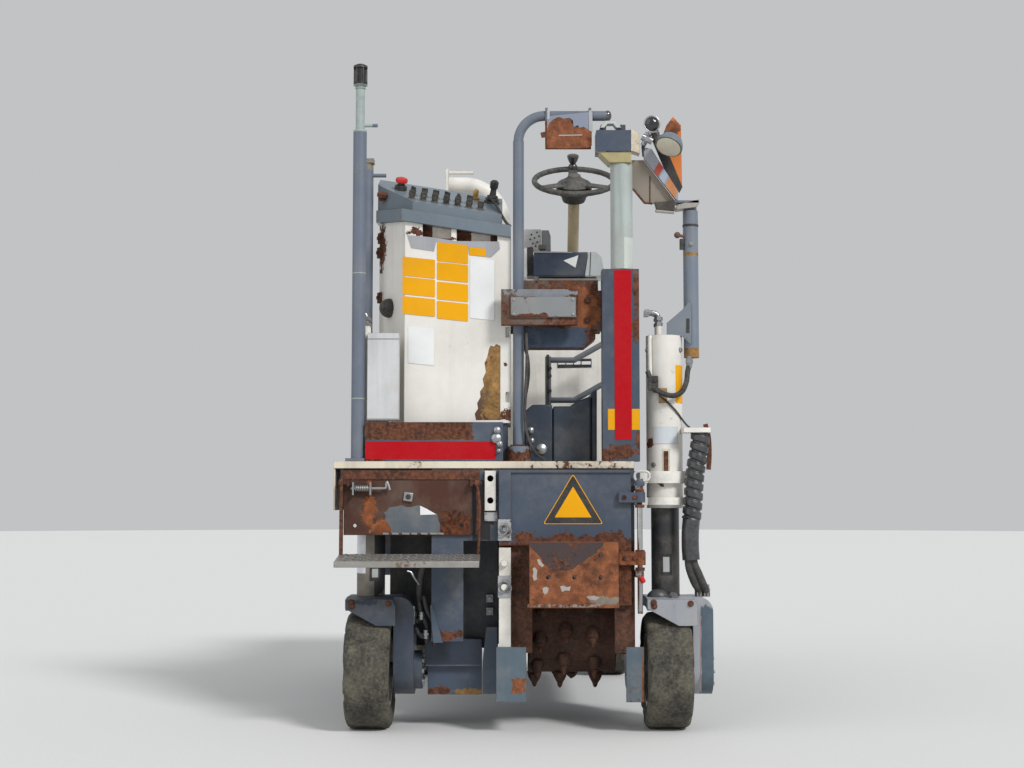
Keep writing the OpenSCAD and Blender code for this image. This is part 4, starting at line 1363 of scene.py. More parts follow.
    def caps(self) -> None:
        """Round black cap, hose ends and rusty brackets on the left facet."""
        x0, y0, x1, y1 = self.facet
        out = (y0 - y1, x1 - x0, 0)
        ribs = [(0, 0.040)]
        for i in range(5):
            ribs += [(0.006 + i * 0.006, 0.0385 - i * i * 0.0009),
                (0.010 + i * 0.006, 0.0355 - i * i * 0.0009)]
        Form().lathe(self.on_facet(0.56, 1.685, 0.006), (-0.60, -0.80, 0.0),
            ribs + [(0.040, 0.014), (0.043, 0)], 40).make("filler_cap", BLACK_PLASTIC, "chassis")
        pads = Form()
        for along, z in ((0.92, 1.99), (0.95, 1.93), (0.93, 1.74), (0.90, 1.56)):
            at = Vector(self.on_facet(along, z, 0.0))
            turn = Matrix.Rotation(math.atan2(out[1], out[0]), 4, "Z")
            pads.box(at - Vector((0.012, 0.014, 0.022)), at + Vector((0.012, 0.014, 0.022)), turn)
            pads.bolt(Vector(self.on_facet(along, z, 0.010)), out, 0.016)
        pads.make("facet_brackets", RUSTY, "chassis")

    def build(self) -> None:
        """Makes every fitting of the console."""
        self.switch_rows()
        self.stop_button()
        self.signs()
        self.caps()
        cable = smooth_path([self.top(-0.14, -0.90, self.deck_up + 0.030),
            self.top(-0.115, -0.955, self.deck_up + 0.016), self.top(-0.10, -1.03, self.deck_up + 0.010),
            (-0.070, -1.085, 2.020), (-0.052, -1.10, 2.000)], 8)
        Form().tube(cable, 0.006).make("lever_cable", BLACK_RUBBER, "chassis")
        # Grey plate over the embossed recess under the cut-outs: painted shade of the recess.
        recess_shade = Form()
        recess_shade.plate([(407, 235), (411, 248), (434, 251.5), (436, 242), (468, 246), (469, 255), (491, 257.5),
            (500, 249), (499, 241.5), (456, 241), (430, 237)], self.face_y - 0.0012, 0.002)
        recess_shade.make("console_recess", Paint("recess_shade_paint", (0.36, 0.37, 0.40), wear=0.15, edge=0.0006),
                    "chassis", "control_console")
        # The two pale beige fields at the back of the recess are lifted in tone: painted light against the
        # recess's shade.
        self.dress(Paint("console_paint", Tone.WHITE.value, wear=0.10, grime=0.16, spots=(
            Spot((-0.388, -1.06, 1.98), (0.021, 0.03, 0.08), 0.06, None, True),
            Spot((-0.330, -1.06, 1.98), (0.037, 0.03, 0.08), 0.03, Tone.PAINTED_LIGHT_STONE, True),
            Spot((-0.241, -1.06, 1.95), (0.031, 0.03, 0.08), 0.06, None, True),
            Spot((-0.171, -1.06, 1.95), (0.038, 0.03, 0.08), 0.03, Tone.PAINTED_LIGHT_STONE, True),
            Spot((-0.117, -1.06, 1.95), (0.015, 0.03, 0.08), 0.06, None, True),
            Spot((-0.43, -1.10, 1.975), (0.040, 0.02, 0.018), 0.9),
            Spot((-0.33, -1.10, 1.950), (0.060, 0.02, 0.008), 0.9),
            Spot((-0.19, -1.10, 1.925), (0.060, 0.02, 0.010), 0.9),
            Spot((-0.59, -0.88, 1.95), (0.03, 0.05, 0.10), 0.8),
            Spot((-0.07, -1.10, 1.445), (0.012, 0.03, 0.012), 0.8),
            Spot((-0.05, -1.10, 1.24), (0.04, 0.03, 0.03), 0.8))), "control_console")
        patch = Form().plate([(489.0, 349.0), (490.5, 345.6), (494.0, 346.6), (496.4, 344.0), (500.4, 346.0),
            (500.4, 420.0), (476.0, 420.0), (474.8, 413.6), (478.0, 408.6), (477.2, 403.0), (480.6, 397.0),
            (480.0, 391.6), (484.0, 386.0), (482.8, 379.0), (485.8, 372.0), (484.6, 363.0), (487.4, 356.6)],
            self.face_y - 0.0006, 0.001)
        patch.make("console_rust_patch", Paint("patch_rust", (0.10, 0.05, 0.025), wear=0.8, grime=0.2,
            seed=91.0, spots=(Spot((-0.11, -1.10, 1.40), (0.05, 0.03, 0.16), 0.8, Tone.OCHRE),)), "chassis",
            "control_console")
        lines = Form()
        for z in (1.5365, 1.2185):
            lines.box((-0.618, -1.1665, z - 0.0012), (-0.4925, -1.1650, z + 0.0012))
        lines.make("document_box_seams", BLACK_BAND, "chassis", "document_box")
        self.dress(Paint("cap_paint", (0.155, 0.195, 0.230), wear=0.2, grime=0.2, rough=0.35, seed=6.0),
            "control_panel")
        self.dress(Paint("box_paint", (0.58, 0.585, 0.59), wear=0.05, grime=0.4, seed=3.0), "document_box")


@dataclass
class ConsoleFoot(Assembly):
    """Blue-grey box under the console with its red reflective strip."""

    rear_y: float = -1.180
    tape_x: Pair = (-0.622, -0.108)
    tape_z: Pair = (1.060, 1.130)

    def build(self) -> None:
        """Makes the strip and dresses the box."""
        strip = Form()
        strip.box((self.tape_x[0], self.rear_y - 0.0015, self.tape_z[0]),
            (self.tape_x[1], self.rear_y + 0.001, self.tape_z[1]))
        strip.make("red_strip", RED_TAPE, "chassis", "console_base")
        self.dress(Paint("foot_paint", Tone.SLATE.value, wear=0.35, seed=1.5, spots=(
            Spot((-0.42, -1.18, 1.176), (0.215, 0.03, 0.040), 0.10, None, True),
            Spot((-0.60, -1.18, 1.06), (0.05, 0.03, 0.03), 0.6))), "console_base")


@dataclass
class RearLeftPanel(Assembly):
    """Rust-brown panel behind the left column, with its nut, spring pin and step."""

    face_y: float = -1.192
    tread_x: Pair = (-0.700, -0.187)
    tread_y: Pair = (-1.392, -1.222)
    tread_z: float = 0.6685
    tilt: float = 7.4

    def tread(self) -> None:
        """Raised lozenges of the chequer plate, and the worn front edge."""
        rise = math.tan(math.radians(self.tilt))
        lean = (0.0, -math.sin(math.radians(self.tilt)), math.cos(math.radians(self.tilt)))
        turn = Matrix.Rotation(math.radians(self.tilt), 4, "X")
        plate = Form().box((-0.718, -1.397, 0.6735), (-0.169, -1.213, 0.6785), turn)
        plate.box((-0.718, -1.399, 0.6455), (-0.169, -1.394, 0.6690))
        for x0, x1 in ((-0.718, -0.712), (-0.175, -0.169)):
            plate.slab([(x0, -1.395, 0.650), (x0, -1.216, 0.668), (x0, -1.216, 0.686), (x0, -1.395, 0.664)],
                (x1 - x0, 0, 0))
        done = plate.make("step_tread",
            Bare("step_steel", (0.42, 0.41, 0.39), rusty=0.30, rough=0.42, metal=0.7, dust=0.45), "step",
            "folding_step", bevel=0.0015)
        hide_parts("folding_step")
        arms = Form()
        arms.slab([(-0.717, -1.222, 0.955), (-0.717, -1.198, 0.955), (-0.717, -1.198, 0.680),
            (-0.717, -1.232, 0.672)], (0.012, 0, 0))
        arms.rod((-0.720, -1.210, 0.965), (-0.704, -1.210, 0.965), 0.016, sides=24)
        arms.tube(smooth_path([(-0.184, -1.210, 0.965), (-0.178, -1.214, 0.940), (-0.172, -1.222, 0.880),
            (-0.172, -1.228, 0.800), (-0.174, -1.228, 0.730), (-0.178, -1.222, 0.684)], 5), 0.0055, 10)
        arms.rod((-0.190, -1.210, 0.965), (-0.172, -1.210, 0.965), 0.014, sides=24)
        arms.make("step_arms", Bare("arm_rust", (0.16, 0.14, 0.13), rusty=0.9, rough=0.6), "step")
        worn = Bare("worn_tread", (0.42, 0.42, 0.41), rusty=0.1, rough=0.4, dust=0.5)
        for turned, phase in ((45, 0), (-45, 1)):
            spots = [((self.tread_x[0] + 0.016 + i * 0.030, self.tread_y[0] + 0.012 + k * 0.029,
                       self.tread_z + (0.012 + k * 0.029) * rise), lean)
                     for i in range(17) for k in range(6) if (i + k) % 2 == phase]
            Repeat(f"tread_lozenges_{phase}", jitter=0.0).stamp(self.lozenge(turned), spots, worn, "step")

    @staticmethod
    def lozenge(turned: float) -> Form:
        """One raised lozenge of the chequer plate, turned by an angle in degrees."""
        form = Form()
        corners = ((-0.013, 0.0), (0.0, 0.0045), (0.013, 0.0), (0.0, -0.0045))
        form.skin([[form.corner((u * f, v * f, h)) for u, v in corners]
                   for f, h in ((1.0, -0.001), (0.95, 0.001), (0.55, 0.0022))])
        return form.moved(Matrix.Rotation(math.radians(turned), 4, "Z"))

    def spring_pin(self) -> None:
        """Spring-loaded pin that holds the folded step."""
        z, y = 0.945, self.face_y - 0.020
        pin = Form()
        for x in (-0.668, -0.600):
            pin.box((x, y - 0.014, z - 0.026), (x + 0.006, self.face_y + 0.002, z + 0.024))
        pin.rod((-0.674, y, z), (-0.545, y, z), 0.0055)
        turns, steps = 8, 10
        coil = [(-0.660 + 0.056 * i / (turns * steps), y + 0.0105 * math.cos(2 * math.pi * i / steps),
                 z + 0.0105 * math.sin(2 * math.pi * i / steps)) for i in range(turns * steps + 1)]
        pin.tube(coil, 0.0026, 6)
        pin.tube(smooth_path([(-0.548, y, z), (-0.538, y, z + 0.002), (-0.536, y, z + 0.014),
            (-0.533, y, z + 0.026), (-0.526, y, z + 0.010), (-0.522, y, z - 0.006)], 4), 0.005, 8)
        pin.make("spring_pin", GALVANISED, "chassis")

    def build(self) -> None:
        """Makes the fittings and dresses panel and step."""
        self.tread()
        self.spring_pin()
        turn = Matrix.Rotation(math.radians(8), 4, "Y")
        Form().box((-0.469, self.face_y - 0.010, 0.894), (-0.433, self.face_y + 0.002, 0.930), turn).make(
            "square_nut", GALVANISED, "chassis", bevel=0.003)
        Form().rod((-0.451, self.face_y - 0.0106, 0.912), (-0.451, self.face_y - 0.004, 0.912), 0.0105).make(
            "nut_bore", BLACK_BAND, "chassis")
        y = self.face_y
        patch = Form().plate([(383.6, 512.5), (386.6, 511.2), (389.0, 507.4), (395.0, 506.6), (401.4, 505.2),
            (406.0, 506.8), (410.4, 507.2), (415.0, 505.8), (419.3, 505.4), (424.0, 508.0), (427.3, 508.6),
            (432.0, 512.6), (437.4, 514.6), (438.4, 520.0), (440.2, 525.0), (439.4, 533.4), (390.7, 533.4),
            (391.0, 528.6), (388.0, 523.4), (385.0, 519.0), (385.8, 516.0)], y - 0.0006, 0.001)
        patch.make("panel_patch",
            Paint("patch_paint", (0.090, 0.110, 0.135), wear=0.25, edge=0.0006, grime=0.5, seed=61.0),
            "chassis", "rear_left_panel")
        # White triangle on the slate patch: a painted patch of sunlight.
        Form().plate([(420.0, 505.6), (427.0, 509.0), (436.4, 514.4), (420.2, 515.0)], y - 0.0010,
            0.001).make("panel_chip", WHITE_SIGN, "chassis", "rear_left_panel")
        # Pale metal dashes along the panel's lower edge: painted highlights of light on the edge.
        edge_highlights = Form()
        for i, px in enumerate((383.0, 392.0, 402.0, 411.5, 421.0, 430.0, 438.0)):
            edge_highlights.plate([(px, 532.6), (px + 5.5 + i % 3, 532.9), (px + 5.5 + i % 3, 534.6), (px, 534.4)],
                y - 0.0012, 0.003)
        edge_highlights.make("panel_edge_marks", GALVANISED, "chassis")
        strip = Form().box((-0.715, y - 0.001, 0.980), (-0.172, y + 0.040, 1.016))
        strip.make("under_deck_strip",
            Bare("strip_rust", (0.08, 0.06, 0.06), rusty=0.9, rough=0.65, seed=62.0), "chassis", "deck_plate")
        side = Form().tube(smooth_path([seen(469.0, 479.0, y), seen(475.0, 481.0, y), seen(477.4, 486.0, y),
            seen(477.8, 500.0, y), seen(477.8, 520.0, y), seen(476.6, 534.0, y)], 5), 0.0065, 10)
        side.make("panel_side_tube", Bare("side_tube_rust", (0.05, 0.04, 0.04), rusty=0.9, rough=0.6),
            "chassis")
        self.dress(Paint("panel_rust", (0.070, 0.026, 0.016), wear=0.42, grime=0.25, rough=0.55, seed=8.0,
            shine=0.25, spots=(
            Spot((-0.605, -1.192, 0.870), (0.022, 0.02, 0.085), 0.9, Tone.RUST_BRIGHT),
            Spot((-0.54, -1.192, 0.80), (0.05, 0.02, 0.02), 0.9, Tone.RUST_BRIGHT),
            Spot((-0.26, -1.192, 0.80), (0.09, 0.02, 0.05), 0.9))), "rear_left_panel")
        plate = Form().box((-0.153, -1.188, 0.817), (-0.102, -1.179, 0.853))
        for x in (-0.147, -0.108):
            for z in (0.823, 0.847):
                plate.bolt((x, -1.188, z), REARWARD, 0.006, False)
        plate.make("small_plate", Paint("plate_paint", Tone.PALE_GREY.value, wear=0.3), "chassis")


@dataclass
class DoorFittings(Assembly):
    """Warning triangle, latches and hinge hardware of the scraper door."""

    face_y: float = -1.207
    rim_y: float = -1.215
    apex: Pair = (0.1935, 1.003)
    base_z: float = 0.806
    half: float = 0.118

    def triangle(self, grow: float, radius: float) -> list[Pair]:
        """The sign's outline.

        Args:
            grow: how far it is drawn in all round.
            radius: radius of its corners.

        Returns:
            X and Z of the outline.
        """
        x, z = self.apex
        tall = z - self.base_z
        side = math.hypot(tall, self.half)
        return rounded([(x - self.half + grow * (side + self.half) / tall, self.base_z + grow),
                        (x + self.half - grow * (side + self.half) / tall, self.base_z + grow),
                        (x, z - grow * side / self.half)], radius)

    def sign(self) -> None:
        """Blank warning triangle: yellow line, black band, yellow field."""
        for name, grow, radius, proud, finish in (("sign_edge", 0.0, 0.012, 0.0012, YELLOW_SIGN),
                ("sign_band", 0.0028, 0.010, 0.0016, BLACK_BAND),
                ("sign_field", 0.026, 0.002, 0.0020, YELLOW_SIGN)):
            Form().prism(self.triangle(grow, radius), (self.face_y - proud, self.face_y + 0.0004)).make(
                name, finish, "door", "scraper_door")

    def latch(self, name: str, x: float, z: float, y: float, body: str) -> None:
        """Two wire loops on a plate.

        Args:
            name: what the pieces' names start with.
            x: middle of the plate.
            z: its height.
            y: its face.
            body: the CAD body it rides on.
        """
        plate = Form().box((x - 0.026, y - 0.005, z - 0.044), (x + 0.026, y + 0.001, z + 0.040))
        plate.make(name + "_plate", Paint("latch_paint", Tone.PALE_GREY.value, wear=0.45), body)
        loop = Form()
        for lean, shift in ((0.55, -0.004), (-0.75, 0.006)):
            ring = [(x + shift + 0.016 * math.cos(a) * math.cos(lean) + 0.024 * math.sin(a) * math.sin(lean),
                     y - 0.014 - 0.007 * math.cos(a),
                     z - 0.016 * math.cos(a) * math.sin(lean) + 0.024 * math.sin(a) * math.cos(lean))
                    for a in circle(28)]
            loop.wire(ring, 0.0038)
        loop.rod((x, y - 0.016, z), (x, y, z), 0.008)
        loop.make(name + "_wire", ZINC, body)

    def hinge(self) -> None:
        """Ring, knob and bolts of the hinge rod."""
        x, y = 0.453, -1.215
        ring = [(x + 0.010 + 0.029 * math.copysign(abs(math.cos(a)) ** 0.6, math.cos(a)), y - 0.002,
                 0.993 + 0.019 * math.copysign(abs(math.sin(a)) ** 0.8, math.sin(a)))
                for a in circle(36)]
        form = Form()
        form.wire(ring, 0.0052)
        form.make("hinge_ring", Paint("ring_paint", (0.62, 0.62, 0.60), wear=0.1), "chassis")
        Form().lathe((x, y, 0.955), UP, [(0, 0.020), (0.014, 0.020), (0.018, 0.016), (0.028, 0.013)],
            24).make("hinge_knob", Paint("knob_paint", Tone.SLATE.value, wear=0.3), "chassis")
        Form().lathe((x + 0.004, y - 0.004, 0.598), (0.3, -0.5, -0.6),
            [(0, 0.011), (0.020, 0.010), (0.026, 0.0)], 16).make("red_tip", RED_PLASTIC, "chassis")
        collars = Form()
        for z in (0.700, 0.632, 0.876, 0.935):
            collars.rod((x, y, z - 0.006), (x, y, z + 0.006), 0.0185)
        collars.make("hinge_collars", RUSTY, "chassis")
        Form().rod((x, y, 0.705), (x, y, 0.872), 0.0104, sides=32).make("hinge_shine", CHROME, "chassis")
        shine = Form().rod((x, y, 0.470), (x, y, 0.625), 0.0104, sides=32)
        shine.make("hinge_lower_rod", Bare("rubbed_rod", (0.46, 0.44, 0.44), rusty=0.35, rough=0.3),
            "chassis")
        bolts = [((0.392, -1.2311, z), REARWARD) for z in (0.910, 0.675)]
        bolts += [((0.432, -1.2311, z), REARWARD) for z in (0.910, 0.675)]
        Repeat("door_bolts", size=0.9).bolts(0.014, bolts, RUSTY, "door")

    def build(self) -> None:
        """Makes the fittings and dresses the door."""
        self.sign()
        self.latch("door_latch", -0.074, 0.785, self.rim_y, "door")
        self.latch("bar_latch", -0.074, 0.566, -1.210, "chassis")
        self.hinge()
        pits = [((x, -1.3252, z), REARWARD) for x, z in ((0.112, 0.674), (0.113, 0.635), (0.272, 0.672),
            (0.271, 0.636), (0.292, 0.598), (0.128, 0.612), (0.250, 0.690))]
        Repeat("flange_pits").holes(0.0042, 0.0004, 12, pits, "door")
        y = -1.325
        pale = Form()
        chips = (
            ((532.5, 568.5), (535.0, 567.2), (537.4, 570.5), (536.6, 576.0), (537.2, 579.5), (534.0, 581.0),
             (532.6, 577.0), (533.4, 572.0)),
            ((542.6, 588.0), (546.4, 586.8), (548.9, 588.6), (547.8, 592.6), (545.0, 594.6), (543.0, 592.4)),
            ((560.0, 586.4), (563.6, 585.6), (566.4, 587.2), (570.8, 586.4), (569.6, 591.0), (565.6, 590.4),
             (562.0, 592.0)),
            ((537.0, 559.6), (539.6, 559.0), (541.6, 562.6), (544.4, 565.6), (542.0, 567.2), (538.6, 564.4)),
            ((586.0, 597.0), (594.0, 595.6), (600.0, 597.8), (596.0, 600.6), (590.0, 599.8)))
        for outline in chips:
            pale.plate(outline, y - 0.0005, 0.0008)
        pale.make("flange_chips",
            Paint("flange_chip_paint", (0.42, 0.37, 0.34), wear=0.3, edge=0.0005, grime=0.5, seed=63.0),
            "door", "scraper_door")
        # Dark sheet over the upper left of the flange: a painted shadow cast on the flange, with a rust
        # grain.
        flange_shadow = Form().plate([(527.6, 542.4), (604.0, 542.4), (603.0, 546.0), (598.6, 549.4), (595.6, 553.5),
            (589.0, 557.0), (584.0, 561.6), (578.0, 565.0), (573.6, 569.0), (569.0, 570.3), (561.0, 571.2),
            (554.5, 569.6), (549.0, 567.4), (544.3, 563.7), (540.8, 558.0), (537.0, 553.5), (532.0, 549.0)],
            y - 0.0003, 0.0006)
        flange_shadow.make("flange_stain", Bare("painted_shadow_scale", (0.05, 0.03, 0.03), rusty=0.35, rough=0.6, metal=0.0,
            seed=64.0), "door", "scraper_door")
        lip = Form().plate([(527.6, 604.4), (604.2, 604.4), (604.2, 607.4), (527.6, 607.4)], -1.3515, 0.003)
        lip.make("flange_lip", Bare("lip_steel", (0.36, 0.27, 0.22), rusty=0.45, rough=0.5, metal=0.4),
            "door", "scraper_door")
        holes = [(seen(px, py, y - 0.0009), REARWARD) for px in (549.1, 575.1, 601.0)
            for py in (555.2, 576.5)]
        Repeat("flange_holes").holes(0.0066, 0.0002, 16, holes, "door")
        self.dress(Paint("door_paint", Tone.SLATE.value, wear=0.12, grime=0.25, seed=5.0, spots=(
            Spot((0.230, -1.21, 0.560), (0.260, 0.05, 0.206), 0.16, None, True),
            Spot((-0.02, -1.21, 0.640), (0.075, 0.05, 0.100), 0.35, None, True),
            Spot((0.24, -1.21, 0.72), (0.30, 0.05, 0.055), 0.5),
            Spot((0.192, -1.300, 0.60), (0.30, 0.078, 0.16), 0.02, Tone.RUST_BRIGHT, True),
            Spot((0.31, -1.325, 0.520), (0.050, 0.01, 0.018), 0.8, Tone.BEIGE))), "scraper_door")
        self.dress(Paint("latch_bar_paint", Tone.WHITE.value, wear=0.35, grime=0.6, seed=11.0), "latch_bar",
            "lashing_plate")
        self.dress(Bare("hinge_steel", (0.40, 0.40, 0.40), rusty=0.55, rough=0.4), "door_hinge_rod")


@dataclass
class SolidTyre(Assembly):
    """One worn solid rubber tyre with its wheel nuts.

    Attributes:
        name: end of the CAD names, such as rear_left.
        x: middle of the wheel.
        y: its axle.
        disc_side: 1 if the wheel disc faces right, -1 if left.
        seed: moves the bites in the rubber.
        radius: the tyre's radius.
        half: half its width.
        bead: radius of the rim's seat.
        sides: faces round it.
    """

    name: str
    x: float
    y: float
    disc_side: int
    seed: float
    radius: float = 0.2285
    half: float = 0.089
    bead: float = 0.1455
    sides: int = 150

    def profile(self) -> list[Pair]:
        """Outline of the rubber.

        Returns:
            (offset, radius) pairs, all round.
        """
        r, h = self.radius, self.half
        tread = [(-h + 0.018 + (2 * h - 0.036) * i / 12, r) for i in range(13)]
        left = [(-h + 0.008, self.bead), (-h + 0.002, r - 0.060), (-h, r - 0.052), (-h + 0.003, r - 0.047),
                (-h, r - 0.040), (-h, r - 0.020), (-h + 0.003, r - 0.011), (-h + 0.009, r - 0.004)]
        return left + tread + [(-u, v) for u, v in reversed(left)]

    def build(self) -> None:
        """Makes the tyre with torn shoulders, and the nuts."""
        form = Form()
        form.hoop((self.x, self.y, self.radius), RIGHT, self.profile(), self.sides)
        axis = Vector((self.x, self.y, self.radius))
        for v in form.mesh.verts:
            out = v.co - axis
            reach = math.hypot(out.y, out.z)
            if reach < self.bead + 0.02:
                continue
            place = Vector((v.co.x * 20, out.y * 20, out.z * 20 + self.seed))
            dent = 0.0012 * (1 + noise.noise(place * 1.6)) + 0.0010 * max(0.0, noise.noise(place * 5))
            near = max(0.0, abs(out.x) - self.half + 0.024) / 0.024
            bite = max(0.0, noise.noise(place * 1.1 + Vector((0, 0, 9))) - 0.18) * 0.045 * near
            v.co -= out.normalized() * (dent + min(bite, 0.012))
            v.co.z = max(v.co.z, 0.0004)
        tyre = form.make("rubber_" + self.name,
            Soft("worn_tyre", (0.020, 0.019, 0.018), dust=0.95, dust_colour=(0.150, 0.138, 0.104), rough=0.85,
                 grain=150.0, depth=0.0022), "wheel_" + self.name, "tyre_" + self.name, angle=50)
        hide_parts("tyre_" + self.name)
        face = self.x + self.disc_side * 0.039
        reach = (0.030 if "rear" in self.name else 0.025) + 0.052
        nuts = [((face, self.y + reach * math.sin(a), self.radius - self.disc_side * reach * math.cos(a)),
                 (self.disc_side, 0, 0)) for a in circle(5)]
        Repeat("nuts_" + self.name, seed=7).bolts(0.024, nuts, RUSTY, "wheel_" + self.name, sunk=0.001)
        self.dress(Paint("rim_paint", (0.50, 0.48, 0.42), wear=0.5, grime=0.8, seed=4.0), "rim_" + self.name)


@dataclass
class MillingDrum(Assembly):
    """Drum tube with two scrolls of pick holders and their picks."""

    x: float = 0.195
    y: float = -0.900
    z: float = 0.390
    width: float = 0.350
    radius: float = 0.190
    picks: int = 30
    turn: float = 37.0
    lean: float = 40.0

    def places(self) -> Iterable[tuple[float, Matrix]]:
        """Places the picks in two scrolls that meet in the middle.

        Yields:
            Offset and turn of each pick.
        """
        span = self.width - 0.052
        for i in range(self.picks):
            angle = (0 if i < self.picks / 2 else 180) + abs(i - (self.picks - 1) / 2) * self.turn
            turn = Matrix.Rotation(math.radians(angle), 3, "X")
            yield self.x - span / 2 + i * span / (self.picks - 1), turn

    def build(self) -> None:
        """Makes the tube, holders, picks and carbide tips."""
        tube = Form()
        half, r = self.width / 2, self.radius
        tube.hoop((self.x, self.y, self.z), RIGHT, [(-half, 0.052), (-half, r - 0.010), (-half + 0.004, r),
            (-half + 0.020, r), (-half + 0.022, r - 0.004), (half - 0.022, r - 0.004), (half - 0.020, r),
            (half - 0.004, r), (half, r - 0.010), (half, 0.052)], 120)
        rusty = Bare("drum_rust", (0.10, 0.08, 0.06), rusty=0.85, rough=0.65, seed=3.0, dust=0.04, metal=0.3,
            deep=0.6)
        done = tube.make("drum_tube", rusty, "drum", "milling_drum")
        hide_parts("milling_drum")
        lean = math.radians(self.lean)
        feet, holders = [], []
        centre = Vector((0, self.y, self.z))
        for x, turn in self.places():
            here = centre + Vector((x, 0, 0))
            feet.append((tuple(here + turn @ Vector((0, -0.002, r - 0.006))), tuple(turn @ Vector(UP))))
            holders.append((tuple(here + turn @ Vector((0, 0.010, r + 0.004))),
                            tuple(turn @ Vector((0, -math.sin(lean), math.cos(lean))))))
        foot = Form().rod((0, 0, 0), (0, 0, 0.026), 0.031, 0.024, sides=10)
        Repeat("pick_feet", jitter=0.0).stamp(foot, feet, rusty, "drum")
        holder = Form().lathe((0, 0, -0.014), UP,
            [(0, 0.022), (0.036, 0.022), (0.043, 0.019), (0.046, 0.0145), (0.046, 0.010), (0.040, 0.0)], 16)
        Repeat("pick_holders", jitter=0.0).stamp(holder, holders, rusty, "drum")
        pick = Form().lathe((0, 0, 0.028), UP, [(0, 0.009), (0.006, 0.0145), (0.009, 0.0155), (0.012, 0.0125),
            (0.026, 0.0100), (0.032, 0.0085), (0.0325, 0.0062), (0.038, 0.0052), (0.041, 0.0)], 16)
        steel = Bare("pick_steel", (0.34, 0.32, 0.30), rusty=0.75, rough=0.45, seed=9.0, deep=0.35)
        Repeat("picks", jitter=0.0).stamp(pick, holders, steel, "drum")
        self.dress(Bare("housing_rust", (0.12, 0.08, 0.07), rusty=0.95, rough=0.65, metal=0.2, seed=5.0,
            dust=0.05, deep=0.3), "drum_housing")
        self.dress(Paint("side_plate_paint", Tone.TEAL.value, wear=0.35, grime=0.4, seed=66.0, spots=(
            Spot((-0.020, -1.232, 0.186), (0.027, 0.02, 0.028), 0.4, Tone.RUST_BRIGHT, True),
            Spot((0.460, -1.232, 0.220), (0.004, 0.02, 0.110), 0.5, Tone.RUST_BRIGHT, True))), "side_plates")


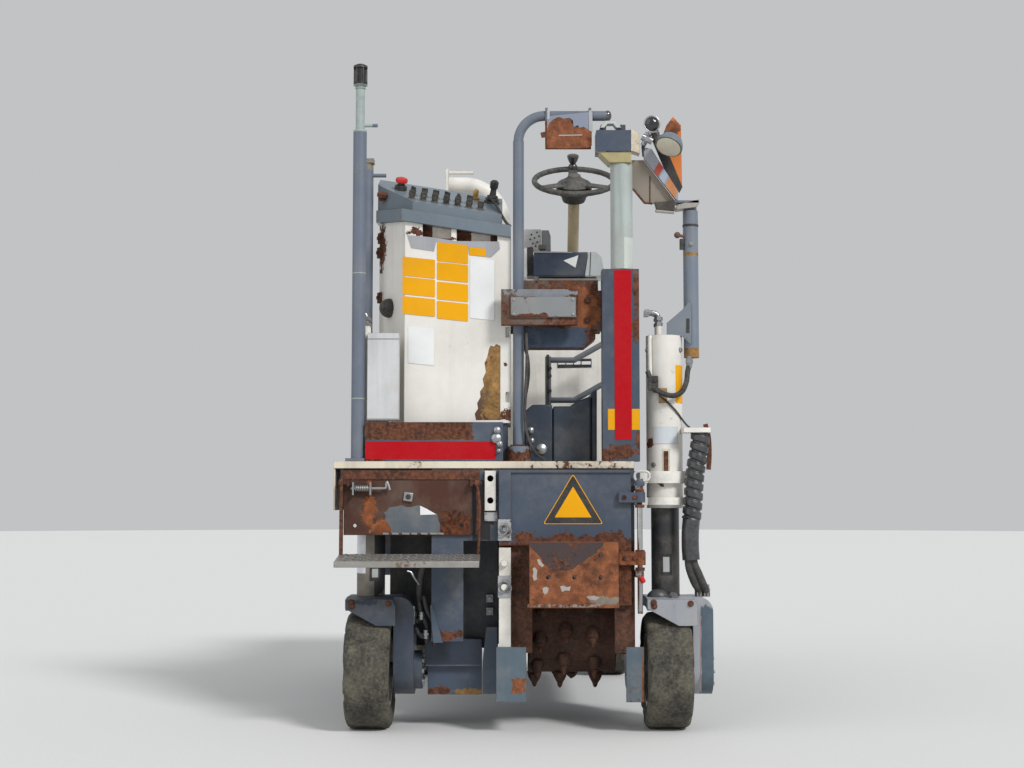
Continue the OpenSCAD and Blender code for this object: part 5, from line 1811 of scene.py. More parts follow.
@dataclass
class ColumnDetails(Assembly):
    """Signs, slot, hose and clips on the right lifting column, and the fittings on both."""

    x: float = 0.568
    y: float = -1.050
    radius: float = 0.0725
    other_x: float = -0.608
    top: float = 1.559

    def signs(self) -> None:
        """Blank signs, slot and bolt."""
        at = (self.x, self.y)
        Form().wrap(at, self.radius, (34, 78), (1.286, 1.438)).make("column_yellow_sign", YELLOW_SIGN,
            "chassis")
        Form().wrap(at, self.radius, (-44, 39), (1.122, 1.190)).make(
            "column_white_sign", Paint("faded_sign", (0.56, 0.60, 0.63), wear=0.0, grime=0.2), "chassis")
        Form().wrap(at, self.radius, (-13, 10), (0.972, 1.102), 0.0016).make(
            "column_slot_rim", Paint("slot_paint", Tone.CREAM.value, wear=0.6), "chassis")
        Form().wrap(at, self.radius, (-9, 6), (0.980, 1.094), 0.0022).make("column_slot",
            Bare("slot_steel", (0.16, 0.15, 0.17), rusty=0.6, rough=0.5), "chassis")
        bolts = [(self.at_angle(-43, 1.039), self.way(-43)), (self.at_angle(58, 1.50), self.way(58)),
                 (self.at_angle(-70, 1.50), self.way(-70))]
        Repeat("column_bolts").bolts(0.015, bolts, ZINC, "chassis", sunk=0.001)

    def way(self, angle: float) -> Point:
        """Direction away from the column at an angle from the rear."""
        return (math.sin(math.radians(angle)), -math.cos(math.radians(angle)), 0.0)

    def at_angle(self, angle: float, z: float, out: float = 0.0) -> Point:
        """A point on the column's face."""
        w = self.way(angle)
        return (self.x + w[0] * (self.radius + out), self.y + w[1] * (self.radius + out), z)

    def plumbing(self) -> None:
        """White pipe, black hose loop, valve block and the elbows on top."""
        pipe = smooth_path([self.at_angle(-48, 1.556, 0.006), self.at_angle(-48, 1.540, 0.012),
            self.at_angle(-48, 1.50, 0.012), self.at_angle(-47, 1.43, 0.012),
            self.at_angle(-46, 1.386, 0.014)], 4)
        Form().tube(pipe, 0.009).make("white_pipe", Paint("pipe_paint", Tone.WHITE.value, wear=0.2),
            "chassis")
        block = Form()
        at = Vector(self.at_angle(-36, 1.366, 0.016))
        block.box(at - Vector((0.020, 0.018, 0.030)), at + Vector((0.020, 0.018, 0.026)))
        block.rod(at + Vector((-0.012, -0.010, 0.02)), at + Vector((-0.022, -0.010, 0.046)), 0.010)
        block.rod(at + Vector((0.0, -0.012, -0.02)), at + Vector((0.012, -0.020, -0.034)), 0.012)
        block.bolt(at + Vector((0.008, -0.018, 0.008)), REARWARD, 0.014)
        block.make("valve_block", BLACK_PLASTIC, "chassis", bevel=0.003)
        clip = Form()
        clip.box(self.at_angle(-24, 1.285, -0.002),
            (self.at_angle(-24, 1.285)[0] + 0.034, self.at_angle(0, 0, 0.006)[1], 1.345))
        clip.make("rusty_clip", Paint("clip_rust", Tone.OCHRE.value, wear=0.8), "chassis", bevel=0.002)
        loop = [self.at_angle(-26, 1.340, 0.030), self.at_angle(-8, 1.320, 0.036),
            self.at_angle(14, 1.312, 0.036), self.at_angle(38, 1.330, 0.030), self.at_angle(62, 1.372, 0.024),
            (0.660, -1.078, 1.412), (0.668, -1.074, 1.446)]
        self.cord("loop_hose", loop, 0.0105, "stiff", "hanging", sides=14)
        Form().lathe((0.6668, -1.0745, 1.430), (0.05, 0.02, 1), [(0, 0.0115), (0.016, 0.0125), (0.018, 0.015),
            (0.034, 0.015), (0.036, 0.011), (0.046, 0.011)], 6).make("hose_nut", ZINC, "chassis")
        wire = [self.at_angle(-20, 1.318, 0.012), self.at_angle(6, 1.285, 0.006),
            self.at_angle(34, 1.250, 0.005), self.at_angle(58, 1.222, 0.006), (0.650, -1.105, 1.200),
            (0.662, -1.125, 1.186)]
        self.cord("column_cable", wire, 0.004, "medium", "taut")
        elbows = Form()
        for x in (self.x - 0.022, self.other_x - 0.022):
            for y in (-1.072, -1.028):
                elbows.tube(smooth_path([(x, y, self.top + 0.045), (x, y, self.top + 0.070),
                    (x - 0.006, y, self.top + 0.086), (x - 0.022, y, self.top + 0.094),
                    (x - 0.040, y, self.top + 0.094)], 5), 0.0095)
                for z in (0.040, 0.062):
                    elbows.rod((x, y, self.top + z), (x, y, self.top + z + 0.014), 0.0165, sides=6)
                elbows.rod((x - 0.038, y, self.top + 0.094), (x - 0.056, y, self.top + 0.094), 0.015, sides=6)
        elbows.make("column_elbows", ZINC, "chassis")

    def build(self) -> None:
        """Makes the details and dresses columns and legs."""
        self.signs()
        self.plumbing()
        self.dress(Paint("column_paint", Tone.WHITE.value, wear=0.12, grime=0.25, seed=14.0, spots=(
            Spot((0.540, -1.12, 0.972), (0.020, 0.05, 0.018), 0.9),
            Spot((0.51, -1.09, 1.13), (0.016, 0.05, 0.02), 0.8),
            Spot((-0.58, -1.12, 1.02), (0.03, 0.05, 0.08), 0.8))), "column_left", "column_right")
        self.legs()

    def legs(self) -> None:
        """Slots of the legs, bolts and covers of the wheel carriers."""
        for body, x, z, angle in (("leg_right", self.x, (0.602, 0.687), -2),
                ("leg_left", self.other_x, (0.580, 0.640), 22)):
            at = (x, self.y)
            rim = Form().wrap(at, 0.056, (angle - 23, angle + 23), z, 0.0004)
            rim.make(body + "_slot_rim", BLACK_BAND, body)
            slot = Form().wrap(at, 0.056, (angle - 13, angle + 13), (z[0] + 0.014, z[1] - 0.012), 0.0006)
            slot.make(body + "_slot", Paint("slot_inside", (0.40, 0.42, 0.42), wear=0.5, edge=0.0006,
                grime=0.7), body)
            y = -1.2045
            bolts = Form()
            for dx, dz in ((-0.062, 0.503), (0.082, 0.498), (-0.060, 0.488)):
                bolts.bolt((x + dx, y + 0.0006, dz), REARWARD, 0.017)
            bolts.make(body + "_apron_bolts", RUSTY, body)
        Form().bolt((self.x + 0.020, -1.150, 0.5185), (0, -0.5, 1),
            0.028).make("carrier_bolt", ZINC, "leg_right")
        cap = Form().ball((self.x - 0.038, -1.118, 0.514), 0.040, (1.1, 0.7, 0.9))
        cap.make("carrier_boot", Soft("dark_boot", (0.020, 0.026, 0.038), dust=0.2, rough=0.35), "leg_right")
        edge = Form().box((0.6925, -1.146, 0.150), (0.6955, -1.1448, 0.455))
        edge.make("cover_seam", Soft("pink_edge", (0.36, 0.20, 0.20), dust=0.4), "leg_right")
        cover = [(self.x + 0.176, self.y + 0.070 * math.cos(a), 0.2285 + 0.070 * math.sin(a))
                 for a in circle(8)]
        other = [(-0.3995, p[1], p[2]) for p in cover]
        Repeat("motor_bolts").bolts(0.015, [(p, RIGHT) for p in cover], ZINC, "leg_right")
        Repeat("other_motor_bolts").bolts(0.015,
            [((x, self.y + (y - self.y) * 0.8, 0.2285 + (z - 0.2285) * 0.8), RIGHT) for x, y, z in other],
            ZINC, "leg_left")
        self.dress(Paint("right_leg_paint", (0.030, 0.030, 0.032), wear=0.25, grime=0.55, rough=0.35,
            seed=71.0), "leg_right")
        self.dress(Paint("left_leg_paint", (0.135, 0.122, 0.105), wear=0.25, grime=0.9, rough=0.5, seed=72.0,
            spots=(
            Spot((-0.584, -1.10, 0.70), (0.006, 0.05, 0.18), 0.2, Tone.DARK, True),
            Spot((-0.645, -1.09, 0.688), (0.020, 0.05, 0.078), 0.02, Tone.SHEET, True),
            # The wide dark spot on the leg's right side is painted shade.
            Spot((-0.56, -1.05, 0.70), (0.025, 0.08, 0.18), 0.3, Tone.DARK, True))), "leg_left")
        self.dress(Paint("left_carrier_paint", (0.042, 0.056, 0.082), wear=0.18, grime=0.3, seed=73.0, spots=(
            Spot((-0.63, -1.20, 0.503), (0.05, 0.03, 0.010), 0.8, Tone.BLUE),)), "carrier_left")
        self.dress(Paint("right_carrier_paint", (0.34, 0.355, 0.385), wear=0.15, grime=0.4, seed=74.0, spots=(
            Spot((0.722, -1.10, 0.30), (0.026, 0.30, 0.18), 0.12, Tone.TEAL, True),
            Spot((0.67, -1.20, 0.20), (0.03, 0.05, 0.06), 0.8, Tone.BEIGE))), "carrier_right")


@dataclass
class WheelHoses(Assembly):
    """Spiral-wrapped bundle down the right column, and the hoses to both wheel motors."""

    bundle: tuple[Point, ...] = ((0.700, -1.145, 1.165), (0.700, -1.145, 1.135), (0.694, -1.145, 1.090),
        (0.682, -1.145, 1.030), (0.674, -1.145, 0.960), (0.670, -1.145, 0.900), (0.664, -1.145, 0.840),
        (0.658, -1.145, 0.780), (0.657, -1.145, 0.720), (0.660, -1.145, 0.665))
    tails: tuple[tuple[Point, ...], ...] = (
        ((0.650, -1.145, 0.690), (0.650, -1.144, 0.650), (0.658, -1.140, 0.615), (0.675, -1.128, 0.575),
         (0.692, -1.110, 0.548), (0.694, -1.105, 0.532), (0.694, -1.105, 0.521)),
        ((0.668, -1.145, 0.690), (0.672, -1.144, 0.650), (0.690, -1.138, 0.610), (0.708, -1.126, 0.570),
         (0.720, -1.110, 0.546), (0.722, -1.105, 0.532), (0.722, -1.105, 0.521)))
    left: tuple[Point, ...] = ((-0.360, -1.100, 0.650), (-0.376, -1.100, 0.650), (-0.392, -1.100, 0.638),
        (-0.404, -1.100, 0.605), (-0.410, -1.100, 0.550), (-0.409, -1.100, 0.500), (-0.405, -1.100, 0.466),
        (-0.404, -1.100, 0.446), (-0.408, -1.100, 0.432), (-0.418, -1.100, 0.426), (-0.431, -1.100, 0.426))
    radius: float = 0.038
    pitch: float = 0.037
    ribbed: float = 0.825

    def build(self) -> None:
        """Makes the bundle, the hoses and their nuts."""
        path = smooth_path(self.bundle, 26)
        run = [0.0]
        for a, b in zip(path, path[1:]):
            run.append(run[-1] + (b - a).length)
        sides = 32

        def band(i: int, k: int) -> float:
            """Height of the spiral band, with a groove between its turns."""
            turn = (run[i] / self.pitch + k / sides) % 1.0
            edge = min(turn, 1.0 - turn)
            if path[i].z < self.ribbed:
                return 0.90
            rise = min(1.0, max(0.0, (edge - 0.09) / 0.09))
            return 0.80 + 0.20 * rise * (0.94 + 0.06 * math.sin(turn * math.pi))

        wrap = Soft("spiral_wrap", (0.012, 0.012, 0.013), dust=0.45, dust_colour=(0.13, 0.13, 0.135),
            rough=0.30, seed=2.0, shine=0.7)
        bundle = Form().tube(path, self.radius, sides, band).make("hose_bundle", wrap, "chassis", angle=60)
        pieces = [bundle]
        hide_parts("hoses_right")
        for i, route in enumerate(self.tails):
            hose = Form().tube(smooth_path(route, 6), 0.0152)
            pieces.append(hose.make(f"motor_hose_{i}", BLACK_RUBBER, "chassis"))
            end = Vector(route[-1])
            nut = Form().rod(end + Vector((0, 0, 0.030)), end - Vector((0, 0, 0.002)), 0.0165, sides=6)
            nut.rod(end + Vector((0, 0, 0.046)), end + Vector((0, 0, 0.028)), 0.0142)
            nut.make(f"motor_nut_{i}", ZINC, "leg_right")
        for piece in pieces:
            self.bend(piece, "leg_right", (0.66, -1.14, 1.12), (0.70, -1.11, 0.57))
        hose = Form().tube(smooth_path(self.left, 6), 0.0128).make("left_motor_hose", BLACK_RUBBER, "chassis")
        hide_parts("hoses_left")
        self.bend(hose, "leg_left", (-0.39, -1.10, 0.63), (-0.41, -1.10, 0.45))
        guard = Form()
        guard.tube(smooth_path([(0.722, -1.135, 1.200), (0.735, -1.130, 1.150), (0.738, -1.128, 1.080),
            (0.734, -1.128, 1.020)], 6), 0.012, 4)
        guard.make("bundle_guard", RUSTY, "chassis")

    @staticmethod
    def bend(piece: bpy.types.Object, body: str, start: Point, end: Point) -> None:
        """Lets a hose stretch between a column and its leg.

        Args:
            piece: the hose.
            body: the leg's body.
            start: above it the hose stays with the column.
            end: below it the hose follows the leg.
        """
        piece.parent = None
        del piece["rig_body"]
        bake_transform(piece, "chassis", body, start=start, end=end)


@dataclass
class TapedPost(Assembly):
    """Post with red tape, galvanised tube and head box; its work lamps are made in LampGroup."""

    rear_y: float = -1.165
    tape_x: Pair = (0.3612, 0.4283)
    tape_z: Pair = (1.137, 1.812)
    tube_x: float = 0.395

    def build(self) -> None:
        """Makes tape, label, tube, head bracket and head side, and dresses the posts."""
        y = self.rear_y
        Form().box((0.334, y - 0.0008, 1.176),
            (0.4595, y + 0.001, 1.259)).make("post_yellow_sign", YELLOW_SIGN, "chassis")
        Form().box((self.tape_x[0], y - 0.0018, self.tape_z[0]),
            (self.tape_x[1], y + 0.001, self.tape_z[1])).make("post_red_tape", RED_TAPE, "chassis",
            "reflector_post")
        Form().hoop((self.tube_x, -1.122, 2.03), UP,
            [(-0.212, 0.043), (-0.212, 0.0446), (0.214, 0.0446), (0.214, 0.043)],
            48).make("galvanised_sleeve",
            Paint("tube_zinc", (0.40, 0.45, 0.43), wear=0.0, grime=0.65, rough=0.34, seed=88.0, shine=0.55),
            "chassis")
        Form().wrap((self.tube_x, -1.122), 0.0446, (8, 78), (1.819, 1.945), 0.0006).make("tube_patch",
            Paint("tube_patch_paint", (0.56, 0.61, 0.57), wear=0.0, edge=0.0006, grime=0.3, seed=89.0),
            "chassis")
        clamps = Form()
        for x in (0.323, 0.401):
            clamps.bolt((x, -1.100, 2.4062), UP, 0.016)
        clamps.plate([(599.8, 127.6), (605, 120.7), (615.3, 120.2), (621.5, 127.6), (616.4, 127.6),
            (613.2, 123.6), (607.6, 123.8), (604.6, 127.6)], -1.150, 0.040)
        clamps.make("head_bracket",
            Paint("head_bracket_paint", (0.52, 0.56, 0.53), wear=0.3, grime=0.5, seed=27.0), "chassis")
        Form().plate([(630.2, 128.2), (638.8, 132.6), (639.8, 153.5), (630.2, 150.0)], -1.150, 0.055).make(
            "head_side", Paint("head_side_paint", Tone.CREAM.value, wear=0.6, grime=0.6, seed=28.0),
            "chassis")
        self.dress(Paint("post_paint", Tone.SLATE.value, wear=0.25, grime=0.25, seed=21.0, spots=(
            Spot((0.452, -1.13, 1.74), (0.024, 0.07, 0.070), 0.5),
            Spot((0.450, -1.13, 1.585), (0.026, 0.07, 0.060), 0.7),
            Spot((0.375, -1.13, 1.085), (0.10, 0.07, 0.030), 0.5),
            Spot((0.455, -1.13, 1.14), (0.015, 0.07, 0.05), 0.7),
            Spot((0.455, -1.10, 1.80), (0.030, 0.07, 0.022), 0.4, Tone.RUST_BRIGHT),
            Spot((0.366, -1.12, 2.262), (0.085, 0.07, 0.027), 0.15, Tone.OLIVE, True),
            Spot((0.438, -1.12, 2.335), (0.006, 0.06, 0.045), 0.1, Tone.CREAM, True),
            Spot((0.33, -1.17, 1.07), (0.03, 0.03, 0.02), 0.8))), "reflector_post")
        self.dress(Paint("right_post_paint", (0.165, 0.195, 0.245), wear=0.3, grime=0.3, seed=25.0, spots=(
            Spot((0.680, -1.05, 1.490), (0.04, 0.04, 0.022), 0.3, Tone.OCHRE, True),
            Spot((0.680, -1.05, 1.891), (0.04, 0.05, 0.006), 0.5, Tone.OCHRE, True))), "right_post")


@dataclass
class LampGroup(Assembly):
    """Striped board, orange plate, clamp and two lamps between the head box and the right post.

    Attributes:
        low: photograph's pixels at both ends of the board's lower edge.
        high: pixels at both ends of its upper edge.
        board_y: depth of the board's face.
    """

    low: tuple[Pair, Pair] = ((644.2, 158.5), (676.2, 199.6))
    high: tuple[Pair, Pair] = ((651.6, 148.6), (678.4, 191.5))
    board_y: float = -1.136

    def across(self, t: float) -> tuple[Pair, Pair]:
        """Pixels of the lower and upper edge at a part t of the board's length."""
        return tuple((a[0] + (b[0] - a[0]) * t, a[1] + (b[1] - a[1]) * t) for a, b in (self.low, self.high))

    def board(self) -> None:
        """The board with its bands of colour, its beige underside and the plate behind it."""
        face = Form().plate([(643.8, 152.5), (645.4, 147.4), (651.6, 148.6), (678.4, 191.5), (678.0, 200.4),
            (676.2, 199.6), (644.2, 158.5)], self.board_y, 0.024)
        board = face.make("striped_board",
            Paint("board_paint", (0.30, 0.32, 0.36), wear=0.25, grime=0.5, seed=51.0), "chassis", "lamp_arm",
            bevel=0.0015)
        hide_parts("lamp_arm")
        for name, start, end, tone in (("red", 0.30, 0.44, (0.42, 0.06, 0.035)),
                ("pale", 0.47, 0.62, (0.34, 0.40, 0.50)), ("orange", 0.66, 0.97, (0.52, 0.19, 0.06))):
            (a, b), (e, f) = self.across(start), self.across(end)
            Form().plate([a, b, f, e], self.board_y - 0.0009, 0.0015).make("band_" + name,
                Paint("band_" + name, tone, wear=0.30, edge=0.0006, grime=0.5, seed=start * 9), "chassis")
        under = Form().plate([(629.5, 160), (643.7, 160), (675.0, 200.6), (670.6, 202.2), (652, 203.6),
            (645, 203.6), (634.4, 191), (629.5, 186)], -1.112, 0.014)
        under.make("board_underside",
            Paint("underside_paint", Tone.BEIGE.value, wear=0.1, grime=0.6, seed=52.0), "chassis",
            bevel=0.002)
        rim = Form()
        rim.tube([seen(633.5, 189.4, -1.115), seen(644.5, 202.8, -1.115), seen(652.3, 203.6, -1.115)], 0.0045,
            8)
        rim.tube([seen(650, 176, -1.114), seen(650, 203, -1.114)], 0.002, 6)
        rim.make("board_rims", RUSTY, "chassis")
        plate = Form().plate([(659.2, 157.0), (661.0, 140.0), (666.5, 125.3), (673.0, 116.6), (681.0, 125.3),
            (682.2, 186.0), (679.6, 188.5)], -1.104, 0.010)
        plate.make("orange_plate", Paint("orange_paint", Tone.ORANGE.value, wear=0.25, grime=0.3, seed=53.0,
            spots=(Spot((0.585, -1.10, 2.395), (0.05, 0.03, 0.040), 0.5, Tone.RUST_BRIGHT),)), "chassis",
            bevel=0.001)

    def lamps(self) -> None:
        """Tilted work lamp, round black lamp, silver clamp and black stay."""
        way = Vector((-0.36, -0.44, -0.82)).normalized()
        at = Vector(seen(669.0, 146.0, -1.190))
        Form().lathe(at, way, [(-0.052, 0.0), (-0.050, 0.024), (-0.036, 0.043), (-0.016, 0.053),
            (-0.004, 0.0555), (0.004, 0.0555), (0.006, 0.0525), (0.001, 0.0515)], 48).make("work_lamp",
            Paint("lamp_paint", (0.15, 0.19, 0.23), wear=0.4, grime=0.4, seed=54.0), "chassis", angle=50)
        lens = Soft("lamp_lens", Tone.LENS.value, dust=0.35, dust_colour=(0.38, 0.34, 0.26), rough=0.3,
            grain=70.0, depth=0.0012)
        Form().lathe(at, way, [(0.0, 0.0510), (0.008, 0.0495), (0.014, 0.038), (0.017, 0.018), (0.0175, 0)],
            48).make("work_lamp_glass", lens, "chassis")
        at = Vector(seen(652.0, 124.0, -1.165))
        Form().ball(at, 0.0285, (1.0, 0.6, 1.06)).make("round_lamp",
            Soft("black_gloss", (0.010, 0.010, 0.011), dust=0.05, rough=0.12, shine=0.8), "chassis")
        ring = [(at.x + 0.0315 * math.cos(a), at.y - 0.004, at.z + 0.0325 * math.sin(a))
                for a in circle(40)]
        hoop = Form()
        hoop.wire(ring, 0.0022)
        hoop.rod(seen(645.0, 132.5, -1.168), seen(659.5, 132.0, -1.168), 0.003, sides=10)
        hoop.make("round_lamp_ring", ZINC, "chassis")
        clamp = Form()
        clamp.rod(seen(642.0, 136.5, -1.150), seen(652.4, 141.5, -1.150), 0.014, sides=20)
        clamp.rod(seen(643.0, 145.5, -1.146), seen(649.0, 134.0, -1.146), 0.011, sides=20)
        clamp.bolt(seen(646.8, 139.5, -1.163), REARWARD, 0.018)
        clamp.make("silver_clamp", ZINC, "chassis")
        gap = Form().plate([(652.0, 140.0), (662.0, 138.0), (682.6, 187.0), (679.4, 193.0), (668.0, 178.0)],
            -1.1075, 0.003)
        gap.make("plate_gap", BLACK_BAND, "chassis")
        stay = Form().rod(seen(654.5, 131.5, -1.140), seen(659.0, 146.0, -1.140), 0.017, sides=16)
        stay.rod(seen(643.0, 146.0, -1.128), seen(644.0, 156.5, -1.128), 0.007, sides=12)
        stay.make("lamp_stay", BLACK_PLASTIC, "chassis")

    def post_top(self) -> None:
        """Slanted plate, gusset, ring, bolt and knob at the top of the right post, and the tube beside it."""
        top = Form().plate([(675.8, 206.8), (677.9, 204.4), (699.4, 198.9), (699.4, 203.2), (696.0, 207.0),
            (676.8, 209.4)], -1.082, 0.060)
        top.plate([(655.5, 209.6), (674.5, 211.4), (674.5, 212.9), (656.5, 211.3)], -1.134, 0.03)
        top.make("post_top_plate",
            Paint("top_plate_paint", (0.40, 0.38, 0.34), wear=0.5, grime=0.5, seed=55.0), "chassis",
            bevel=0.001)
        Form().plate([(684.5, 209.5), (696.5, 207.2), (697.6, 222.8), (690.0, 222.8)], -1.066, 0.032).make(
            "post_gusset", Paint("gusset_paint", (0.12, 0.16, 0.175), wear=0.35, seed=56.0), "chassis")
        Form().plate([(654.5, 201.8), (675.0, 200.8), (675.0, 210.4), (668.0, 212.2), (657.0, 210.8)], -1.128,
            0.024).make("dark_tube", Paint("dark_tube_paint", (0.028, 0.022, 0.018), wear=0.2, seed=57.0),
            "chassis", bevel=0.003)
        x, y = 0.680, -1.050
        rings = Form()
        rings.hoop((x, y, 2.010), UP, [(-0.004, 0.0300), (-0.004, 0.0325), (0.004, 0.0325), (0.004, 0.0300)],
            40)
        rings.make("post_ring", BLACK_BAND, "chassis")
        Form().bolt((x, y - 0.0305, 1.932), REARWARD, 0.014).make("post_bolt", ZINC, "chassis")
        knob = Form().rod((x - 0.026, y - 0.012, 1.965), (x - 0.050, y - 0.020, 1.968), 0.006)
        knob.ball((x - 0.056, y - 0.022, 1.969), 0.013)
        knob.make("post_knob", Soft("dark_red", (0.10, 0.012, 0.010), dust=0.3), "chassis")
        Form().box((x - 0.045, y - 0.020, 1.912), (x - 0.029, y + 0.004, 1.955)).make("post_catch",
            BLACK_PLASTIC, "chassis", bevel=0.002)
        gusset = Form().prism(flat([(666.8, 336.3), (666.8, 323.0), (682.0, 310.0), (688.2, 302.6),
            (691.0, 304.0), (691.0, 345.0), (684.5, 338.5), (682.0, 336.3)], -1.086), (-1.089, -1.083))
        gusset.make("column_gusset", Paint("column_gusset_paint", (0.19, 0.22, 0.26), wear=0.15, seed=58.0),
                    "chassis", bevel=0.001)
        Form().plate([(686.2, 318.5), (689.6, 318.5), (689.6, 333.0), (686.2, 333.0)], -1.0896, 0.001).make(
            "gusset_slot", BLACK_BAND, "chassis")

    def build(self) -> None:
        """Makes the whole group."""
        self.board()
        self.lamps()
        self.post_top()


@dataclass
class SteeringWheel(Assembly):
    """Three-spoked wheel with a hub boot and a spinner knob."""

    hub: Point = (0.240, -0.280, 2.357)
    lean: float = 30.0
    major: float = 0.182
    minor: float = 0.013

    def place(self) -> Matrix:
        """From the wheel's own plane to the machine."""
        return Matrix.Translation(self.hub) @ Matrix.Rotation(math.radians(self.lean), 4, "X")

    def build(self) -> None:
        """Makes rim, spokes, hub and knob."""
        form = Form()
        rings = []
        for i, a in enumerate(circle(96)):
            grip = 1.0 - 0.05 * (i % 4 == 0)
            ring = []
            for b in circle(14):
                r = self.minor * (grip if math.sin(b) < 0 else 1.0)
                out = self.major + r * math.cos(b)
                ring.append(form.corner((out * math.cos(a), out * math.sin(a), r * math.sin(b))))
            rings.append(ring)
        form.skin(rings + rings[:1], close=False)
        section = ((-1, -0.002), (-0.9, -0.005), (0.9, -0.005), (1, -0.002), (0.9, 0.003), (-0.9, 0.003))
        for i in range(3):
            a = math.radians(90 + i * 120)
            out, side = Vector((math.cos(a), math.sin(a), 0)), Vector((-math.sin(a), math.cos(a), 0))
            spoke = []
            for t in (0.018, 0.060, 0.110, 0.150, 0.178):
                width = 0.030 - 0.060 * t
                drop = -0.010 * (1 - t / 0.178)
                spoke.append([form.corner(out * t + side * width * u + Vector((0, 0, drop + h)))
                              for u, h in section])
            form.skin(spoke)
        form.lathe((0, 0, -0.026), UP, [(0, 0.020), (0.002, 0.070), (0.012, 0.080), (0.020, 0.072),
            (0.034, 0.046), (0.044, 0.032), (0.056, 0.028), (0.060, 0.018), (0.061, 0.0)], 40)
        form.moved(self.place())
        grip = Soft("wheel_rubber", (0.020, 0.020, 0.020), dust=0.95, dust_colour=(0.150, 0.142, 0.125),
            rough=0.6, seed=8.0)
        wheel = form.make("wheel_rim_and_spokes", grip, "steering_wheel", "steering_wheel", angle=45)
        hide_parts("steering_wheel")
        knob = Form().lathe((0, self.major, 0.002), UP, [(0, 0.021), (0.012, 0.022), (0.020, 0.017),
            (0.024, 0.012), (0.034, 0.019), (0.054, 0.027), (0.063, 0.0275), (0.067, 0.022), (0.068, 0)], 28)
        knob.moved(self.place())
        knob.make("spinner_knob", Soft("knob_gloss", (0.010, 0.010, 0.011), dust=0.12, rough=0.22, shine=0.8),
                  "steering_wheel")
        boot = Form().lathe((0, 0, -0.098), UP, [(0, 0.030), (0.002, 0.050), (0.010, 0.054), (0.026, 0.058),
            (0.036, 0.070), (0.050, 0.080), (0.064, 0.082), (0.067, 0.060), (0.067, 0.0)], 40)
        boot.moved(self.place())
        boot.make("column_dish", BLACK_RUBBER, "chassis")
        self.dress(Paint("steering_paint", (0.46, 0.37, 0.22), wear=0.12, grime=0.4), "steering_column")


